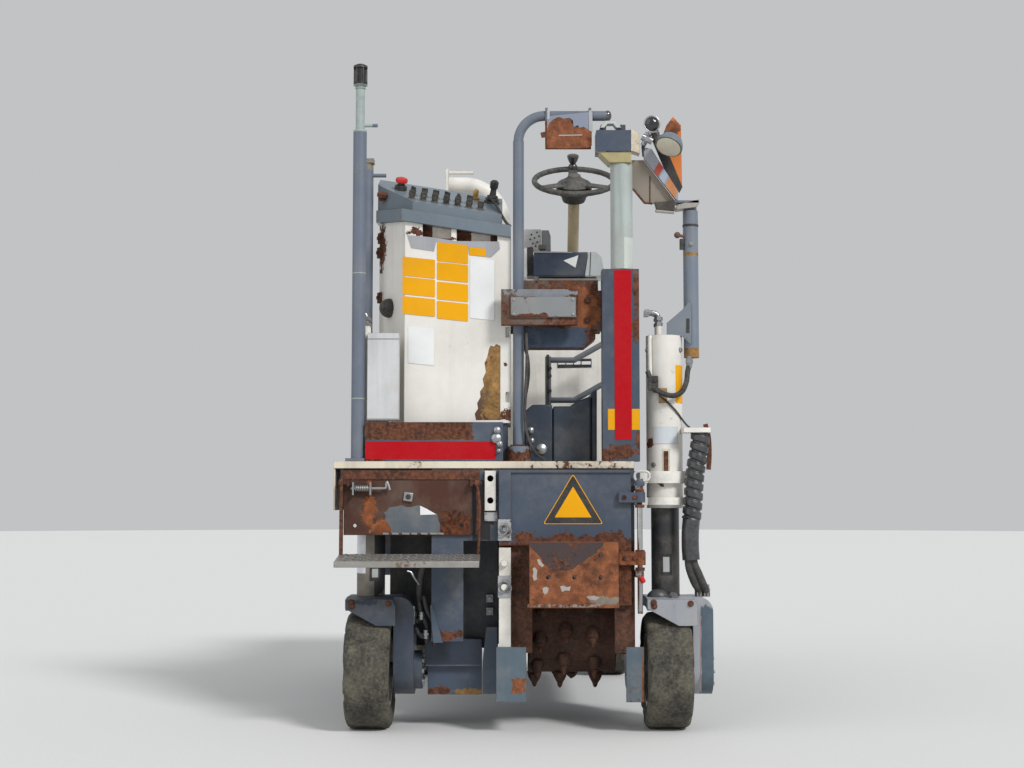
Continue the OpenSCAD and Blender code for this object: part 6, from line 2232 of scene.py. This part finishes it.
@dataclass
class SeatGroup(Assembly):
    """Seat cushion, rusty bracket with its box, rails, dashboard and footwell."""

    low: Point = (0.012, -0.963, 1.600)
    high: Point = (0.298, -0.622, 1.678)

    def cushion(self) -> None:
        """Blows up a cloth pad, then adds its welt."""
        low, high = Vector(self.low), Vector(self.high)
        form = Form()
        form.prism(rounded([(low.x + 0.006, low.y + 0.006), (high.x - 0.006, low.y + 0.006),
            (high.x - 0.006, high.y - 0.006), (low.x + 0.006, high.y - 0.006)], 0.045, 6),
            (low.z + 0.004, high.z - 0.012), upright=False)
        pad = form.make("seat_pad",
            Soft("seat_vinyl", (0.018, 0.018, 0.020), dust=0.3, rough=0.45, grain=900.0, depth=0.0003),
            "chassis", "seat_cushion", angle=70)
        pad.data.remesh_voxel_size = 0.006
        with bpy.context.temp_override(object=pad, active_object=pad, selected_objects=[pad]):
            bpy.ops.object.voxel_remesh()
        self.inflate(pad)
        for v in pad.data.vertices:
            v.co = Vector((min(max(v.co.x, low.x), high.x), min(max(v.co.y, low.y), high.y),
                max(v.co.z, low.z)))
        pad.data.shade_smooth()
        smooth = pad.modifiers.new("smooth", "SUBSURF")
        smooth.levels = smooth.render_levels = 1
        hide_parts("seat_cushion")
        z = low.z + 0.034
        edge = rounded([(low.x + 0.001, low.y + 0.001), (high.x - 0.001, low.y + 0.001),
            (high.x - 0.001, high.y - 0.001), (low.x + 0.001, high.y - 0.001)], 0.050, 8)
        welt = Form()
        welt.wire([(x, y, z) for x, y in edge], 0.0032, 8)
        welt.make("seat_welt", BLACK_RUBBER, "chassis")

    @staticmethod
    def inflate(pad: bpy.types.Object) -> None:
        """Runs a cloth simulation under pressure and keeps its result.

        Args:
            pad: the cushion's remeshed piece.
        """
        scene = bpy.context.scene
        before = [v.co.copy() for v in pad.data.vertices]
        cloth = pad.modifiers.new("cloth", "CLOTH")
        cloth.settings.use_pressure = True
        cloth.settings.uniform_pressure_force = 4.0
        cloth.settings.quality = 5
        cloth.settings.effector_weights.gravity = 0.0
        cloth.point_cache.frame_start, cloth.point_cache.frame_end = 1, 20
        for frame in range(1, 21):
            scene.frame_set(frame)
        done = bpy.data.meshes.new_from_object(pad.evaluated_get(bpy.context.evaluated_depsgraph_get()))
        after = [v.co.copy() for v in done.vertices]
        pad.modifiers.remove(cloth)
        bpy.data.meshes.remove(done)
        for v, a, b in zip(pad.data.vertices, before, after):
            step = b - a
            v.co = a + step.normalized() * min(step.length, 0.024) if step.length else a
        scene.frame_set(1)

    def box_details(self) -> None:
        """Cover plate, screws and black cable of the seat bracket."""
        cover = Form().box((-0.050, -1.1855, 1.622), (0.208, -1.1815, 1.702))
        cover.make("box_cover", Paint("cover_paint", (0.22, 0.23, 0.235), wear=0.55, edge=0.006, seed=31.0,
            spots=(Spot((0.02, -1.184, 1.625), (0.08, 0.01, 0.010), 0.9),)), "chassis", bevel=0.003)
        screws = [((x, -1.1855, z), REARWARD) for x in (-0.038, 0.196) for z in (1.633, 1.691)]
        Repeat("cover_screws").stamp(Form().lathe((0, 0, 0), UP, [(0, 0.006), (0.003, 0.005), (0.004, 0)],
            12), screws, ZINC, "chassis")
        frame = [((x, -1.0935, z), REARWARD) for x, z in ((0.258, 1.70), (0.258, 1.62), (0.285, 1.755))]
        Repeat("bracket_bolts").bolts(0.018, frame, RUSTY, "chassis")
        run = [(0.012, -1.150, 1.560), (0.014, -1.150, 1.45), (0.008, -1.148, 1.32), (0.006, -1.148, 1.22),
               (0.020, -1.146, 1.14), (0.050, -1.140, 1.085), (0.085, -1.125, 1.058)]
        self.cord("box_cable", run, 0.006, "medium", "hanging")

    def build(self) -> None:
        """Makes the group and dresses its nodes."""
        self.cushion()
        self.box_details()
        self.dress(Paint("bracket_rust", (0.105, 0.06, 0.042), wear=0.95, grime=0.4, seed=33.0, spots=(
            Spot((0.07, -1.18, 1.72), (0.13, 0.02, 0.02), 0.5, Tone.STEEL_GREY),
            Spot((0.24, -1.09, 1.66), (0.07, 0.03, 0.09), 0.5, Tone.RUST_BRIGHT),
            Spot((0.13, -1.09, 1.545), (0.13, 0.03, 0.045), 0.2, Tone.SLATE, True))), "seat_bracket")
        self.dress(Paint("rail_paint", (0.12, 0.135, 0.16), wear=0.2, grime=0.3, seed=35.0), "guard_rails")
        self.dash()
        self.footwell()

    def dash(self) -> None:
        """Dark blue instrument box with its pale end, plates, sign and knob."""
        y, back = -0.190, 0.170
        blue = Form().plate([(533.6, 252.8), (588.0, 251.8), (584.4, 276.0), (533.6, 276.0)], y, back)
        blue = blue.make("dash_box",
            Paint("dash_paint", (0.026, 0.040, 0.070), wear=0.10, grime=0.3, seed=37.0), "chassis",
            "dashboard", bevel=0.004)
        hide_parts("dashboard")
        pale = Form().prism(rounded(flat([(588.4, 251.8), (596.5, 251.8), (601.6, 256.5), (603.8, 268.6),
            (603.2, 276.0), (584.8, 276.0)], y), 0.006, 3), (y, y + back))
        pale.make("dash_end", Paint("dash_end_paint", (0.46, 0.50, 0.50), wear=0.1, grime=0.6, seed=38.0),
                  "chassis", bevel=0.004)
        Form().plate([(590.4, 252.2), (591.2, 252.2), (590.2, 275.8), (589.4, 275.8)], y - 0.0008,
            0.002).make("dash_seam", BLACK_BAND, "chassis")
        Form().plate([(563.4, 260.5), (578.4, 255.2), (575.5, 267.6)], y - 0.0010, 0.0015).make(
            "dash_sign", WHITE_SIGN, "chassis")
        # Pale metal strip along the top edge of the box: a painted highlight.
        dash_highlight = Form().plate([(534.0, 251.0), (572.5, 251.9), (572.5, 252.9), (534.0, 252.6)], y - 0.002,
            0.05)
        dash_highlight.make("dash_edge", GALVANISED, "chassis")
        white = Form().plate([(523.0, 229.4), (541.2, 229.4), (541.2, 252.0), (523.0, 252.0)], -0.060, 0.004)
        white.plate([(523.9, 248.0), (527.0, 248.0), (527.0, 277.0), (523.9, 277.0)], -0.150, 0.10)
        white.make("perforated_plate",
            Paint("perforated_paint", (0.60, 0.60, 0.60), wear=0.35, grime=0.4, seed=40.0), "chassis")
        holes = [(seen(px, py, -0.0603), REARWARD) for px, py in ((531.4, 234.6), (537.0, 232.4),
            (530.2, 239.4), (534.6, 238.0), (539.0, 236.2), (532.8, 243.6), (537.2, 242.0), (531.0, 247.4),
            (535.6, 246.2))]
        Repeat("plate_holes").holes(0.0044, 0.0006, 12, holes, "chassis")
        grey = Form().plate([(541.6, 230.2), (548.6, 230.2), (550.6, 236.0), (550.8, 251.6), (541.6, 251.6)],
            -0.056, 0.022)
        grey.make("grey_plate",
            Paint("grey_plate_paint", (0.26, 0.28, 0.29), wear=0.2, edge=0.006, seed=42.0), "chassis",
            bevel=0.001)
        x, _, z = seen(542.4, 254.5, -0.150)
        Form().lathe((x, -0.150, z), UP, [(0, 0.010), (0.010, 0.011), (0.020, 0.012), (0.024, 0.019),
            (0.042, 0.020), (0.045, 0.016), (0.046, 0)], 24).make("dash_knob", BLACK_PLASTIC, "chassis")
        Form().plate([(527.2, 247.2), (533.2, 247.2), (533.4, 275.8), (527.4, 275.8)], -0.140, 0.12).make(
            "dash_gap", BLACK_BAND, "chassis")

    def footwell(self) -> None:
        """Folded dark panels under the operator's feet, with the fittings in front of them."""
        front = -0.310
        left = Form()
        left.prism(flat([(524.6, 462.2), (524.6, 411.2), (532.4, 404.6), (552.4, 404.6), (552.4, 462.2)],
            -1.000), (-1.000, front))
        left.prism(flat([(553.0, 462.2), (553.0, 406.2), (569.8, 406.2), (578.0, 400.8), (590.6, 396.0),
            (590.6, 462.2)], -0.986), (-0.986, front))
        left.prism(flat([(591.2, 461.6), (591.2, 392.6), (597.0, 389.0), (597.0, 461.6)], -0.972),
            (-0.972, front))
        panel = left.make("footwell_panels",
            Paint("footwell_paint", (0.030, 0.045, 0.070), wear=0.12, grime=0.3, seed=39.0), "chassis",
            "footwell", bevel=0.006)
        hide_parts("footwell")
        strip = Form().plate([(546.4, 354.6), (549.2, 354.6), (549.2, 404.4), (546.4, 404.4)], -0.352, 0.004)
        strip.make("rail_strip", BLACK_PLASTIC, "chassis")
        bolts = [(seen(549.9, py, -0.353), REARWARD) for py in (368.5, 376.0, 390.8)]
        Repeat("strip_bolts").bolts(0.012, bolts, BLACK_PLASTIC, "chassis")
        frame = Form().plate([(557.4, 359.2), (591.6, 358.6), (591.6, 367.4), (557.4, 368.0)], -0.152, 0.003)
        frame.make("cowl_plate", BLACK_BAND, "chassis")
        cells = Form()
        for x0, x1 in ((558.2, 565.4), (566.4, 573.0), (574.0, 580.6), (581.6, 590.8)):
            cells.plate([(x0, 361.4), (x1, 361.2), (x1, 364.4), (x0, 364.6)], -0.1532, 0.002)
        cells.make("cowl_plate_cells", WHITE_SIGN, "chassis")
        cable = smooth_path([seen(523.4, 345.0, -1.075), seen(527.4, 356.0, -1.07),
            seen(528.6, 370.0, -1.065), seen(527.6, 384.0, -1.06), seen(525.4, 397.0, -1.055),
            seen(524.6, 410.0, -1.05)], 6)
        Form().tube(cable, 0.0065, 10).make("side_cable", BLACK_RUBBER, "chassis")
        balls = Form()
        for px, py, r, y in ((530.6, 430.6, 0.014, -1.004), (531.6, 440.8, 0.012, -1.004),
                (531.6, 449.0, 0.009, -1.004), (541.4, 449.2, 0.021, -1.004), (497.2, 430.4, 0.014, -1.184),
                (496.2, 438.6, 0.019, -1.184), (499.6, 444.0, 0.012, -1.184), (498.8, 451.0, 0.009, -1.184)):
            at = seen(px, py, y)
            balls.lathe((at[0], y + 0.006, at[2]), (0.05, -1, 0.08),
                [(0, r), (0.012, r), (0.015, r * 0.7), (0.022, r * 0.7), (0.024, r * 0.45), (0.025, 0)], 12)
        balls.make("hose_fittings", ZINC, "chassis")


@dataclass
class Underside(Assembly):
    """Dark plates, brackets, hoses and fittings between the left wheel and the drum."""

    plate_y: float = -1.0005
    hose_y: float = -1.120

    def build(self) -> None:
        """Makes plates, brackets and hoses."""
        y = self.plate_y
        Form().plate([(461.0, 535.0), (498.0, 535.0), (498.0, 648.0), (461.0, 648.0)], y, 0.003).make(
            "inner_plate", Paint("inner_paint", (0.030, 0.038, 0.055), wear=0.15, grime=0.5, seed=81.0),
            "chassis")
        # Black sheet behind the left wheel: painted shade where the frame's underside lies in shadow.
        shade_sheet = Form().box((-0.552, -0.796, 0.300), (-0.374, -0.790, 0.760))
        shade_sheet.make("splash_plate",
            Paint("painted_shade_paint", (0.012, 0.013, 0.016), wear=0.1, grime=0.3, seed=83.0), "chassis")
        slanted = Form().plate([(486.0, 627.0), (497.5, 627.0), (497.5, 694.0), (482.6, 694.0),
            (482.6, 662.0)], -1.090, 0.006)
        slanted.plate([(430.0, 606.0), (432.0, 604.0), (443.0, 643.0), (433.0, 643.0)], -1.184, 0.004)
        slanted.make("slanted_plate", Paint("slanted_paint", (0.060, 0.085, 0.120), wear=0.2, seed=82.0),
            "chassis", bevel=0.001)
        brackets = Form()
        for px, py in ((489.8, 598.0), (489.8, 611.0)):
            x, _, z = seen(px, py, y)
            brackets.box((x - 0.014, y - 0.030, z - 0.015), (x + 0.014, y, z + 0.015))
            brackets.bolt((x, y - 0.030, z), REARWARD, 0.016)
        brackets.make("inner_brackets", GALVANISED, "chassis", bevel=0.002)
        y = self.hose_y
        hoses = Form()
        for route in (((419, 600), (421, 612), (426, 624), (428, 634), (426, 642)),
                      ((424, 596), (427, 610), (433, 622), (436, 634), (434, 646)),
                      ((416, 628), (419, 634), (424, 637), (430, 636))):
            hoses.tube(smooth_path([seen(px, py, y) for px, py in route], 6), 0.0085, 12)
        hoses.make("inner_hoses", BLACK_RUBBER, "leg_left")
        ends = Form()
        for px, py, r, tall in ((413.0, 606.0, 0.011, 0.070), (426.4, 630.0, 0.013, 0.034),
                (421.6, 612.0, 0.010, 0.030)):
            at = Vector(seen(px, py, y - 0.004))
            ends.rod(at, at - Vector((0, 0, tall)), r, sides=16)
            ends.rod(at - Vector((0, 0, tall * 0.35)), at - Vector((0, 0, tall * 0.55)), r * 1.3, sides=6)
        ends.make("inner_fittings", ZINC, "leg_left")
        clip = Form().tube([seen(407.0, 571.0, y), seen(411.0, 572.0, y), seen(414.4, 578.0, y),
            seen(419.5, 585.0, y + 0.012)], 0.004, 8)
        clip.make("hose_clip", ZINC, "chassis")


@dataclass
class BodyDetails(Assembly):
    """Seams, louvres, latches and bolts of hood, cowl, frame and counterweight."""

    hood_x: Pair = (-0.600, 0.425)

    def build(self) -> None:
        """Makes the details that the photograph doesn't show."""
        for name, x, way in (("left", self.hood_x[0], -1), ("right", self.hood_x[1], 1)):
            spots = [((x, 0.36 + i * 0.105, 1.24 + k * 0.026), (way, 0, 0)) for i in range(3)
                for k in range(7)]
            slot = Form().box((-0.005, -0.035, -0.0005), (0.005, 0.035, 0.003))
            Repeat("louvres_" + name, jitter=0.0).stamp(slot, spots, BLACK_BAND, "hood")
            handle = Form()
            for y in (0.20, 1.22):
                handle.rod((x - way * 0.002, y - 0.05, 1.16), (x + way * 0.006, y - 0.05, 1.16), 0.006)
                handle.rod((x - way * 0.002, y + 0.05, 1.16), (x + way * 0.006, y + 0.05, 1.16), 0.006)
                handle.rod((x + way * 0.006, y - 0.058, 1.16), (x + way * 0.006, y + 0.058, 1.16), 0.005)
            handle.make("hood_handles_" + name, BLACK_PLASTIC, "hood")
        frame_right = [((0.4355, y, z), RIGHT) for y in (-0.40, -0.10, 0.20, 0.80, 1.10)
            for z in (0.66, 0.98)]
        Repeat("frame_bolts").bolts(0.022, frame_right, ZINC, "chassis")
        weight = [((x, 1.4005, z), FORWARD) for x in (-0.40, -0.02, 0.36) for z in (0.66, 0.98)]
        Repeat("weight_bolts").bolts(0.032, weight, ZINC, "chassis")
        signs = Form().box((-0.20, 1.3995, 0.78), (0.16, 1.4012, 0.86))
        signs.make("weight_sign", WHITE_SIGN, "chassis", "counterweight")


@dataclass
class PostsAndMast(Assembly):
    """Gooseneck with its lamp plate, beacon mast and the second left post."""

    mast: Pair = (-0.655, -1.150)
    gooseneck: Pair = (-0.019, -1.115)

    def lamp_plate(self) -> None:
        """Rusty plate clamped to the front of the top tube, with what is left of its paint and its fold."""
        y = self.gooseneck[1] - 0.0245
        face = Form().plate([(547.0, 117.0), (588.4, 113.0), (591.8, 118.0), (591.8, 145.4), (589.0, 147.6),
            (566.0, 148.6), (546.4, 148.0), (546.4, 124.0)], y, 0.003)
        face.make("lamp_plate_face", Paint("lamp_plate_rust", (0.14, 0.06, 0.03), wear=0.9, edge=0.002,
            grime=0.3, seed=46.0, spots=(
            Spot((0.182, y, 2.40), (0.12, 0.03, 0.10), 0.05, Tone.RUST_BRIGHT, True),
            Spot((0.190, y, 2.333), (0.047, 0.03, 0.026), 0.05, None, True),
            Spot((0.215, y, 2.425), (0.020, 0.03, 0.022), 0.6, Tone.DARK))), "chassis", bevel=0.001)
        upper = Form().plate([(547.0, 116.0), (588.6, 112.0), (588.6, 130.0), (583.7, 126.8), (579.5, 127.8),
            (577.9, 125.0), (573.7, 127.0), (572.9, 120.2), (569.6, 117.8), (563.8, 118.6), (558.8, 116.8),
            (553.0, 119.4), (549.0, 123.6), (547.2, 129.4)], y - 0.0010, 0.002)
        upper.make("lamp_plate_paint",
            Paint("upper_plate_paint", (0.23, 0.26, 0.34), wear=0.2, edge=0.0006, seed=44.0), "chassis")
        flange = Form().plate([(588.7, 110.6), (592.4, 109.6), (592.6, 131.8), (589.0, 130.6)], y - 0.0016,
            0.004)
        flange.plate([(558.8, 134.8), (582.0, 134.4), (582.4, 135.4), (559.0, 135.8)], y - 0.0010, 0.002)
        flange.plate([(547.2, 109.4), (549.8, 109.4), (549.6, 119.0), (547.2, 119.4)], y - 0.0016, 0.004)
        flange.make("lamp_plate_flange",
            Paint("flange_paint", (0.42, 0.44, 0.46), wear=0.3, edge=0.0008, seed=45.0), "chassis")
        tab = Form().plate([(540.4, 132.6), (546.8, 131.0), (546.8, 137.0), (541.6, 137.6)], y + 0.001, 0.004)
        tab.make("lamp_plate_tab", RUSTY, "chassis")

    def build(self) -> None:
        """Makes the cage, clamps and end ball."""
        x, y = self.mast
        cage = Form()
        for i in range(6):
            a = 2 * math.pi * i / 6
            cage.rod((x + 0.0255 * math.cos(a), y + 0.0255 * math.sin(a), 2.570),
                     (x + 0.0250 * math.cos(a), y + 0.0250 * math.sin(a), 2.640), 0.0026, sides=8)
        cage.lathe((x, y, 2.634), UP, [(0, 0.0285), (0.004, 0.0285), (0.010, 0.0245), (0.015, 0.017),
            (0.018, 0.008), (0.0185, 0)], 32)
        cage.make("beacon_cage", BLACK_PLASTIC, "chassis")
        Form().hoop((x, y, 2.600), UP, [(-0.016, 0.012), (-0.016, 0.0195), (0.016, 0.0195), (0.016, 0.012)],
            32).make("beacon_glass",
            Soft("beacon_glass", (0.42, 0.42, 0.40), dust=0.5, rough=0.3, grain=90.0), "chassis")
        clamps = Form()
        for z, r in ((2.372, 0.0265), (2.552, 0.0205), (1.80, 0.0275), (1.30, 0.0275)):
            clamps.hoop((x, y, z), UP, [(-0.003, r - 0.004), (-0.003, r), (0.003, r), (0.003, r - 0.004)], 40)
        clamps.make("mast_clamps", Paint("mast_clamp_paint", Tone.TUBE.value, wear=0.2), "chassis")
        gx, gy = self.gooseneck
        Form().ball((0.341, gy, 2.448), 0.0222, (0.75, 1, 1)).make(
            "tube_end", Bare("dark_chrome", (0.20, 0.20, 0.21), rusty=0.0, rough=0.12), "chassis")
        collar = Form().hoop((gx, gy, 1.108), UP,
            [(-0.004, 0.021), (-0.004, 0.034), (0.010, 0.030), (0.012, 0.021)], 40)
        collar.make("gooseneck_collar", RUSTY, "chassis")
        feet = [((gx + 0.036 * math.cos(a), gy + 0.036 * math.sin(a), 1.1115), UP)
            for a in (0.6, 2.2, 3.9, 5.3)]
        Repeat("gooseneck_bolts").bolts(0.012, feet, RUSTY, "chassis")
        self.lamp_plate()
        self.dress(Paint("gooseneck_paint", (0.130, 0.158, 0.205), wear=0.25, grime=0.3, seed=41.0, spots=(
            Spot((0.182, -1.115, 2.362), (0.11, 0.03, 0.062), 0.12, Tone.RUST_BRIGHT, True),
            Spot((-0.019, -1.115, 1.075), (0.06, 0.06, 0.035), 0.5))), "gooseneck_post")
        self.dress(Paint("mast_paint", (0.135, 0.160, 0.208), wear=0.3, grime=0.35, seed=43.0, spots=(
            Spot((x, y, 2.470), (0.05, 0.05, 0.098), 0.01, Tone.TUBE, True),
            Spot((x, y, 2.620), (0.05, 0.05, 0.055), 0.01, Tone.DARK, True),
            Spot((-0.62, -0.90, 2.30), (0.07, 0.06, 0.030), 0.4, Tone.BEIGE, True))), "beacon_mast",
            "left_post")


@dataclass
class PlainNodes(Assembly):
    """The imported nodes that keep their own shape, in the paint that most of them wear."""

    def build(self) -> None:
        """Dresses every node, then those that aren't slate blue."""
        self.dress(Paint("slate_paint", Tone.SLATE.value, wear=0.3), *self.nodes)
        self.dress(Paint("white_paint", Tone.WHITE.value, wear=0.1), "control_console", "column_left",
            "column_right", "exhaust_pipe", "latch_bar", "lashing_plate", "engine_hood", "cowl",
            "rim_rear_left", "rim_rear_right", "rim_front_left", "rim_front_right")
        self.dress(Paint("deck_paint", Tone.CREAM.value, wear=0.62, grime=0.4, seed=19.0), "deck_plate")
        self.dress(Paint("frame_paint", Tone.SLATE.value, wear=0.22, grime=0.4, seed=17.0, spots=(
            Spot((0.568, -1.05, 0.94), (0.104, 0.14, 0.10), 0.01, Tone.WHITE, True),
            Spot((-0.28, -1.05, 0.302), (0.125, 0.09, 0.052), 0.03, Tone.BLUE, True),
            Spot((-0.33, -1.05, 0.145), (0.060, 0.03, 0.018), 0.9),
            Spot((-0.225, -1.05, 0.140), (0.060, 0.03, 0.012), 0.9, Tone.OCHRE),
            Spot((-0.30, -1.18, 0.375), (0.07, 0.03, 0.020), 0.9),
            Spot((-0.13, -1.18, 0.93), (0.030, 0.03, 0.12), 0.3, Tone.DARK),
            Spot((-0.165, -1.18, 0.86), (0.035, 0.03, 0.12), 0.05, Tone.DARK, True))), "chassis_frame")
        self.dress(Paint("grey_paint", Tone.STEEL_GREY.value, wear=0.35), "lamp_arm", "gooseneck_post",
            "right_post", "left_post", "beacon_mast", "folding_step")
        self.dress(Paint("pale_paint", Tone.PALE_GREY.value, wear=0.3), "document_box")
        self.dress(Bare("brown_rust", Tone.PALE_GREY.value, rusty=0.95), "rear_left_panel", "milling_drum",
            "seat_bracket")
        self.dress(Soft("black_casting", Tone.DARK.value, dust=0.35), "seat_cushion", "hoses_left",
            "hoses_right", "steering_wheel", "radiator", "drum_drive")


def main() -> None:
    """Builds the scene in order."""
    logging.basicConfig(level=logging.INFO, format="%(name)s: %(message)s")
    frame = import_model()
    Stage().build()
    nodes = frame["nodes"]
    wheels = (SolidTyre(nodes, "rear_left", -0.608, -1.05, -1, 1.0),
        SolidTyre(nodes, "rear_right", 0.568, -1.05, -1, 5.0),
        SolidTyre(nodes, "front_left", -0.50, 0.85, -1, 9.0),
        SolidTyre(nodes, "front_right", 0.46, 0.85, 1, 13.0))
    before = (PlainNodes, ConsoleFittings, ConsoleFoot, RearLeftPanel, DoorFittings)
    after = (MillingDrum, ColumnDetails, WheelHoses, TapedPost, LampGroup, SteeringWheel, SeatGroup,
        Underside, BodyDetails, PostsAndMast)
    for part in (*(kind(nodes) for kind in before), *wheels, *(kind(nodes) for kind in after)):
        part.build()
        LOG.info("built %s", type(part).__name__)
    new_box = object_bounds()
    for low, high, side in zip(new_box[0], new_box[1], "XYZ"):
        LOG.info("size along %s: %.4f m", side, high - low)


if __name__ == "__main__":
    main()
